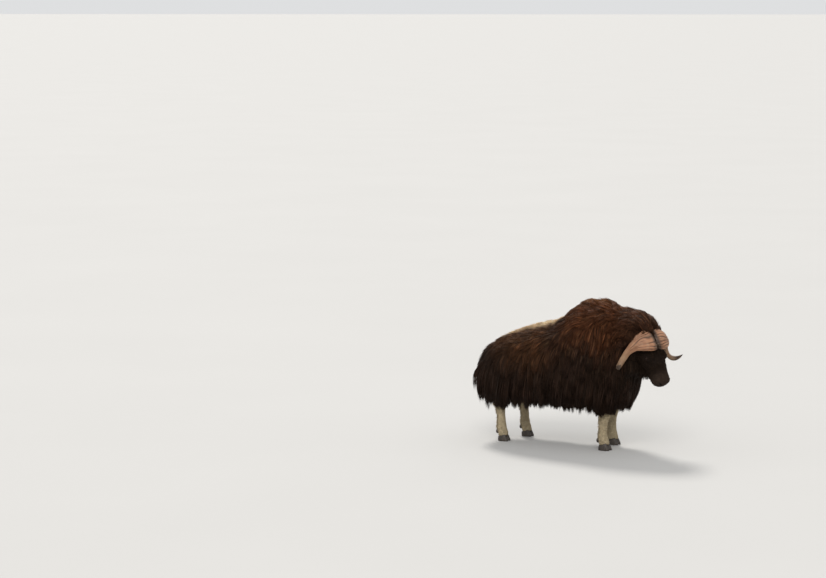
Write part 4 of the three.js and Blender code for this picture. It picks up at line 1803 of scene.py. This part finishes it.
    def length(self, roots: Roots) -> Array:
        """How long the hair is.

        Args:
            roots: Roots anywhere on the skin.

        Returns:
            A length for each, before any unevenness.
        """
        x, z = roots.at[:, 0], roots.at[:, 2]
        ahead, aside, over = roots.local.T
        top = ease(roots.out[:, 2], 0.30, 0.85)
        saddle = MARKINGS.saddle_patch(roots.at, 0 * x)
        long = mix(self.side_length, self.top_length, top) * (1 - 0.62 * saddle)
        long = long + self.skirt_length * ease(z, 0.98, 0.74) * (1 - ease(x, 0.62, 0.72))
        hem = self.hem + 0.012 * ripple(roots.at, 0.12, 81)
        long = np.minimum(long, 1.03 * np.maximum(z - hem, 0.05))
        cheek = mix(self.neck_length, self.cheek_length, ease(ahead, -0.04, 0.07))
        face = mix(cheek, self.nose_length, ease(ahead, 0.11, 0.25))
        face = mix(face, self.muzzle_length, ease(ahead, 0.31, 0.42))
        brow = smudge(roots.local, (0.165, 0.0, 0.085), (0.040, 0.13, 0.05))
        face = face + self.brow_length * brow
        gap = np.hypot(ahead - EYE[0], 1.2 * (over - EYE[2])) - 0.020
        face = np.where(np.abs(aside) > 0.07, np.minimum(face, 0.004 + 0.6 * np.maximum(gap, 0)), face)
        face = np.where(self.in_parting(roots), self.parting_length, face)
        beard = mix(self.neck_length, self.chin_length, ease(ahead, 0.05, 0.29))
        face = np.where((over < BEARD_LINE) & (ahead < BEARD_END), np.maximum(beard, face), face)
        long = np.where(self.on_head(roots), face, long)
        long = np.minimum(long, 0.024 + 1.3 * np.maximum(self.ear_gap(roots) - EAR_REACH, 0))
        tail_gap = line_distance(roots.at, Sweep(TAIL).axis)
        long = np.minimum(long, self.tail_length + 2.5 * np.maximum(tail_gap - 0.05, 0))
        feather = self.feather_length * ease(roots.out[:, 0], -0.2, -0.9) * ease(z, 0.07, 0.16)
        stocking = mix(self.shin_length, self.knee_length, ease(z, 0.30, 0.45)) + feather
        return np.where(z < STOCKING_TOP, stocking, long)

    def in_parting(self, roots: Roots) -> Array:
        """Which roots lie in the groove between the horns."""
        ahead, aside, over = roots.local.T
        return (np.abs(aside) < 0.022) & (ahead > -0.06) & (ahead < 0.165) & (over > 0.05)

    def over_boss(self, tips: Array) -> Array:
        """Which tips lie well in front of the boss's rear edge, where hair would cross the horn.

        Args:
            tips: Tips of tufts, in the drawing's frame.

        Returns:
            True or False for each.
        """
        ahead, aside, over = HEAD.local(tips).T
        aside = np.abs(aside)
        edge = np.interp(aside, [0.045, 0.10, 0.154, 0.193], [-0.034, -0.028, -0.006, 0.034])
        return (ahead > edge) & (aside > 0.022) & (aside < 0.22) & (over > 0.03)

    def depth(self, roots: Roots) -> Array:
        """How far the tips of the outermost hair stand from the skin.

        Args:
            roots: Roots anywhere on the skin.

        Returns:
            A distance for each.
        """
        x, z = roots.at[:, 0], roots.at[:, 2]
        side = mix(self.side_depth, self.top_depth, ease(roots.out[:, 2], 0.1, 0.8))
        crest = self.crest_rise * smudge(roots.at, (0.42, 0.0, 1.40), (0.20, 0.20, 0.14))
        nape = self.nape_rise * smudge(roots.at, (0.76, -0.02, 1.28), (0.11, 0.14, 0.12))
        low = self.skirt_rise * ease(z, 0.9, 0.6)
        rear = self.rear_rise * ease(x, -0.66, -0.80) * ease(-roots.out[:, 0], 0.2, 0.8)
        return side + crest + nape + low + rear

    def locks(self, roots: Roots, tract: Tract, rng: np.random.Generator,
              apart: float) -> tuple[Array, Array]:
        """Shares the tufts out among locks.

        Args:
            roots: The roots.
            tract: Their tract.
            rng: Its random draws.
            apart: How far apart locks are.

        Returns:
            The tuft that leads each lock, and the lock of each tuft.
        """
        area = self.areas[self.region == tract.region.place].sum()
        leads = rng.choice(len(roots.at), min(max(int(area / apart**2), 8), len(roots.at)), replace=False)
        tree = KDTree(len(leads))
        for k, lead in enumerate(leads):
            tree.insert(Vector(roots.at[lead]), k)
        tree.balance()
        return leads, np.array([tree.find(Vector(root))[1] for root in roots.at])

    def paths(self, roots: Roots, tract: Tract, lock: Array,
              rng: np.random.Generator) -> tuple[Array, Array, Array]:
        """Where each tuft runs.

        Args:
            roots: The roots.
            tract: Their tract.
            lock: The lock of each tuft.
            rng: Random draws.

        Returns:
            Points along each tuft, the way out at each point, and each tuft's length.
        """
        count, many = len(roots.at), lock.max() + 1
        head = self.on_head(roots) & (roots.local[:, 0] > 0.0) & (tract.region is not Region.BEARD)
        long = self.length(roots) * rng.uniform(0.78, 1.08, count) * rng.normal(1, 0.08, many)[lock]
        wild = rng.uniform(0, 1, count) < self.wild_share
        proud = rng.uniform(0.30, 1.0, count) ** 0.8 * rng.uniform(0.72, 1.12, many)[lock]
        depth = self.depth(roots) * np.where(wild, 1.18, proud)
        sway = rng.normal(0, 0.13, (many, 3))[lock] + rng.normal(0, 0.20 if tract.short else 0.09, (count, 3))
        at = roots.at - roots.out * (0.0010 if tract.short else 0.003)
        ear = np.full(count, tract.region is Region.EARS)
        upright = 2.2 * (self.in_parting(roots) & head)
        way_out = roots.out
        points, outs = [at], [way_out]
        share = np.linspace(0, 1, tract.rings + 1) ** 0.92
        for k in range(1, tract.rings + 1):
            step = (long * (share[k] - share[k - 1]))[:, None]
            flow = self.lie(at, way_out, head, ear) + sway + rng.normal(0, 0.07, (count, 3))
            if tract.short:
                lift = 0.48 - 0.25 * share[k] + upright
                at = at + unit(flow + way_out * lift[:, None]) * step
            else:
                hang = (0.75 * share[k] * (1 - ease(way_out[:, 2], -0.1, 0.5)))[:, None]
                heading = unit(mix(flow, DOWN, hang))
                at = at + heading * step
                want = np.minimum(depth, 0.9 * long) * (1 - (1 - share[k]) ** 1.8)
                away, way_out = self.field.away(at), self.field.out(at)
                lying = ease(way_out[:, 2], 0.05, 0.5)
                push = np.where(away < want, want - away, (want - away) * lying)
                at = at + way_out * np.clip(push, -0.03, 0.03)[:, None]
            points.append(at)
            outs.append(way_out)
        path = np.stack(points, 1)
        path[:, 1:-1] = 0.5 * path[:, 1:-1] + 0.25 * (path[:, :-2] + path[:, 2:])
        return path, np.stack(outs, 1), long

    def gathered(self, paths: Array, leads: Array, lock: Array, pull: Array) -> Array:
        """Tufts drawn together towards the one that leads their lock, more so at the tips.

        Args:
            paths: Points along each tuft.
            leads: The tuft that leads each lock.
            lock: The lock of each tuft.
            pull: How much of the way each tuft's tip is drawn.

        Returns:
            The points moved.
        """
        share = np.linspace(0, 1, paths.shape[1])[None, :, None] ** 1.4
        return paths + (paths[leads[lock]] - paths) * share * np.minimum(pull, 0.92)[:, None, None]

    def tract_mesh(self, tract: Tract, rng: np.random.Generator) -> bpy.types.Mesh:
        """One tract of the coat as a mesh of closed tapered tufts.

        Args:
            tract: The tract.
            rng: Its random draws.

        Returns:
            The mesh, in the drawing's frame.
        """
        roots = self.sprout(tract, rng)
        count, rings = len(roots.at), tract.rings
        leads, lock = self.locks(roots, tract, rng, tract.gather)
        small_leads, small_lock = self.locks(roots, tract, rng, 0.4 * tract.gather)
        paths, outs, long = self.paths(roots, tract, lock, rng)
        small_pull = 0.55 * tract.pull * rng.uniform(0.5, 1.2, count)
        paths = self.gathered(paths, small_leads, small_lock, small_pull)
        paths = self.gathered(paths, leads, lock, tract.pull * rng.uniform(0.5, 1.15, count))
        paths[:, 1:, 2] = np.maximum(paths[:, 1:, 2], 0.006)
        if tract.region is Region.RUFF:
            kept = ~self.over_boss(paths[:, -1])
            roots, lock, paths, outs, long = roots.only(kept), lock[kept], paths[kept], outs[kept], long[kept]
            count = len(long)
        along = unit(np.gradient(paths, axis=1))
        side = unit(np.cross(along, outs))
        twist = rng.normal(0, self.twist, (count, 1, 1))
        face_out = np.cross(side, along)
        side, face_out = (side * np.cos(twist) + face_out * np.sin(twist),
                          face_out * np.cos(twist) - side * np.sin(twist))
        levels = np.linspace(0, 1, rings + 1)[:-1]
        breadth = np.interp(levels, [0, 0.3, 0.7, 1], [0.75, 1, 0.72, 0.0])
        wide = tract.wide * np.clip(long / np.median(long), 0.55, 1.25) * rng.uniform(0.7, 1.25, count)
        half = (wide[:, None] * breadth)[:, :, None] / 2
        at = paths[:, :-1]
        side, face_out = side[:, :-1], face_out[:, :-1]
        ring = np.stack([at + side * half, at + face_out * half * 0.75, at - side * half], 2)
        points = np.concatenate([ring.reshape(count, -1, 3), paths[:, -1:]], 1)
        mesh = tuft_mesh(points, rings)
        steps = np.append(np.repeat(levels, 3), 1.0)
        across = np.append(np.tile([0.0, 0.5, 1.0], rings), 0.5)
        add_colours(mesh, "Tint", self.tuft_colours(roots, lock, steps, rng))
        spread = np.column_stack([(across - 0.5) * self.patch, (steps - 0.5) * self.patch])
        add_uv(mesh, "OFBake", np.clip(unwrap(roots)[:, None] + spread[None], 0, 1).reshape(-1, 2))
        shift = rng.uniform(0, 40, (count, 1, 2))
        scale_across, scale_along = self.strand_scale
        strand_across = np.broadcast_to(across, (count, len(across))) * wide[:, None] * scale_across
        strand = np.stack([strand_across, steps[None] * long[:, None] * scale_along], 2)
        add_uv(mesh, "Strand", (strand + shift).reshape(-1, 2))
        return mesh

    def tuft_colours(self, roots: Roots, lock: Array, steps: Array, rng: np.random.Generator) -> Array:
        """Colours along each tuft: the coat's markings, darker at the root and paler at the tip.

        Args:
            roots: The roots.
            lock: The lock that each tuft belongs to.
            steps: Places along a tuft, one for each of its vertices.
            rng: Random draws.

        Returns:
            One colour for each vertex.
        """
        count = len(roots.at)
        base = MARKINGS.tint(roots.at)
        tone = rng.normal(0, self.tuft_tone, count) + rng.normal(0, self.lock_tone, lock.max() + 1)[lock]
        base = base * np.exp(tone)[:, None]
        warm = rng.normal(0, 0.06, count)[:, None] * np.array([1.0, 0.1, -0.6])
        base = base * (1 + warm)
        grizzled = (rng.uniform(0, 1, count) < self.grizzled_share) * ease(roots.at[:, 2], 0.8, 1.15)
        base = mix(base, base * 2.0 + np.array([0.03, 0.018, 0.008]), grizzled[:, None])
        fade = np.interp(steps, [0, 0.30, 0.75, 1], self.root_to_tip)
        return np.clip(base[:, None] * fade[None, :, None], 0, 0.95).reshape(-1, 3)


def tuft_mesh(points: Array, rings: int) -> bpy.types.Mesh:
    """Many closed tufts as one mesh.

    Args:
        points: For each tuft, the three points of each ring from the root on, then the tip.
        rings: How many rings a tuft has.

    Returns:
        The mesh.
    """
    count, per_tuft = points.shape[:2]
    sizes, corners = [3], [0, 1, 2]
    for ring in range(rings - 1):
        for k in range(3):
            start, after = ring * 3 + k, ring * 3 + (k + 1) % 3
            sizes.append(4)
            corners += [start, start + 3, after + 3, after]
    for k in range(3):
        start, after = (rings - 1) * 3 + k, (rings - 1) * 3 + (k + 1) % 3
        sizes.append(3)
        corners += [start, 3 * rings, after]
    first = (np.arange(count) * per_tuft)[:, None]
    all_corners = (first + np.array(corners)).ravel()
    all_sizes = np.tile(sizes, count)
    mesh = bpy.data.meshes.new("tufts")
    mesh.vertices.add(count * per_tuft)
    mesh.loops.add(len(all_corners))
    mesh.polygons.add(len(all_sizes))
    mesh.vertices.foreach_set("co", points.astype(np.float32).ravel())
    mesh.loops.foreach_set("vertex_index", all_corners.astype(np.int32))
    mesh.polygons.foreach_set("loop_start", (np.cumsum(all_sizes) - all_sizes).astype(np.int32))
    mesh.update(calc_edges=True)
    mesh.validate()
    return mesh


def unwrap(roots: Roots) -> Array:
    """Where roots lie on an unwrap of the skin: the body as a tube, the head as another, and four legs.

    Args:
        roots: Roots anywhere on the skin.

    Returns:
        One pair from 0 to 1 for each.
    """
    x, y, z = roots.at.T
    ahead, aside, over = roots.local.T
    turn = 2 * math.pi
    body = np.column_stack([0.02 + 0.60 * (x + 1.0) / 2.0, 0.5 + 0.96 * np.arctan2(y, z - 0.8) / turn])
    face_turn = np.arctan2(aside, over + 0.03) / turn
    face = np.column_stack([0.66 + 0.32 * (ahead + 0.12) / 0.62, 0.25 + 0.46 * face_turn])
    leg = np.zeros((len(x), 2))
    for k, foot in enumerate(Foot):
        foot_x, foot_y, _ = foot.value
        own = (np.sign(y) == np.sign(foot_y)) & (np.sign(x) == np.sign(foot_x))
        angle = np.arctan2(y - foot_y, x - foot_x) / turn
        place = np.column_stack([0.66 + 0.32 * z / 0.46, 0.515 + 0.12 * (k + 0.5) + 0.11 * angle])
        leg = np.where(own[:, None], place, leg)
    on_face, on_leg = ((ahead > 0) & (x > 0.7))[:, None], (z < STOCKING_TOP)[:, None]
    return np.clip(np.where(on_leg, leg, np.where(on_face, face, body)), 0.01, 0.99)


# Stage


@dataclass
class Studio:
    """A pale floor, soft light and the camera at the photograph's angle."""

    image_width: float = 826
    focal_pixels: float = 2409
    hump: tuple[float, float, float] = (0.380, 0.0, 1.450)
    hump_pixel: float = 606
    away: float = 23.4
    azimuth: float = 25
    height: float = 4.24
    pitch: float = 6.56
    sensor: float = 36
    far: float = 6000
    floor_size: float = 4000
    sky: tuple[float, ...] = (0.98, 0.99, 1.0, 1)
    sky_strength: float = 0.75

    def build(self) -> None:
        """Floor, lights, sky and camera."""
        self.floor()
        self.lights()
        self.camera()

    def camera(self) -> None:
        """The camera, turned so that the hump lies as far to the right as in the photograph."""
        data = bpy.data.cameras.new("camera")
        data.sensor_width = self.sensor
        data.lens = self.focal_pixels / self.image_width * self.sensor
        data.clip_end = self.far
        made = linked("camera", data)
        turn = math.radians(self.azimuth)
        target = Vector(self.hump) + SHIFT
        back, aside = self.away * math.cos(turn), self.away * math.sin(turn)
        made.location = (target.x + aside, target.y - back, self.height)
        off_middle = math.atan((self.hump_pixel - self.image_width / 2) / self.focal_pixels)
        made.rotation_euler = (math.radians(90 - self.pitch), 0, turn + off_middle)
        bpy.context.scene.camera = made

    def floor(self) -> None:
        """A wide pale floor."""
        bm = bmesh.new()
        bmesh.ops.create_grid(bm, x_segments=1, y_segments=1, size=self.floor_size)
        mesh = to_mesh(bm, "floor")
        g = Graph("floor")
        share = g.spread(g.noise(0.3, 2), 0.3, 0.7, 0.0, 1.0)
        colour = g.blend(share, (0.485, 0.48, 0.47, 1), (0.495, 0.49, 0.48, 1))
        mesh.materials.append(g.dress(Base_Color=colour, Roughness=0.85))
        linked("floor", mesh)

    def lights(self) -> None:
        """A soft sky, a broad key from the front and a stronger one from behind that rims the back."""
        world = bpy.data.worlds.new("studio")
        world.use_nodes = True
        background = world.node_tree.nodes["Background"]
        background.inputs["Color"].default_value = self.sky
        background.inputs["Strength"].default_value = self.sky_strength
        scene = bpy.context.scene
        scene.world = world
        scene.view_settings.view_transform = "Standard"
        # Name, where it comes from, its spread in degrees, its power and its colour
        rows = [
            ("key", (0.30, -0.80, 0.75), 30, 1.25, (1.0, 0.97, 0.93)),
            ("rim", (-0.50, 0.55, 0.80), 14, 2.3, (1.0, 0.97, 0.92)),
        ]
        for name, toward, spread, power, colour in rows:
            data = bpy.data.lights.new(name, "SUN")
            data.angle = math.radians(spread)
            data.energy = power
            data.color = colour
            linked(name, data).rotation_euler = Vector(toward).to_track_quat("Z", "Y").to_euler()


def corners(box: tuple[Vector, Vector]) -> list[list[float]]:
    """A box as plain lists."""
    return [list(corner) for corner in box]


def main() -> None:
    """Builds the animal and its stage."""
    logging.basicConfig(level=logging.INFO, format="%(name)s: %(message)s")
    Studio().build()
    skin = Skin()
    skin.build()
    horns = Horns().build()
    Eyes().build()
    Hooves().build()
    Coat(skin.mesh, horns).build()


if __name__ == "__main__":
    main()
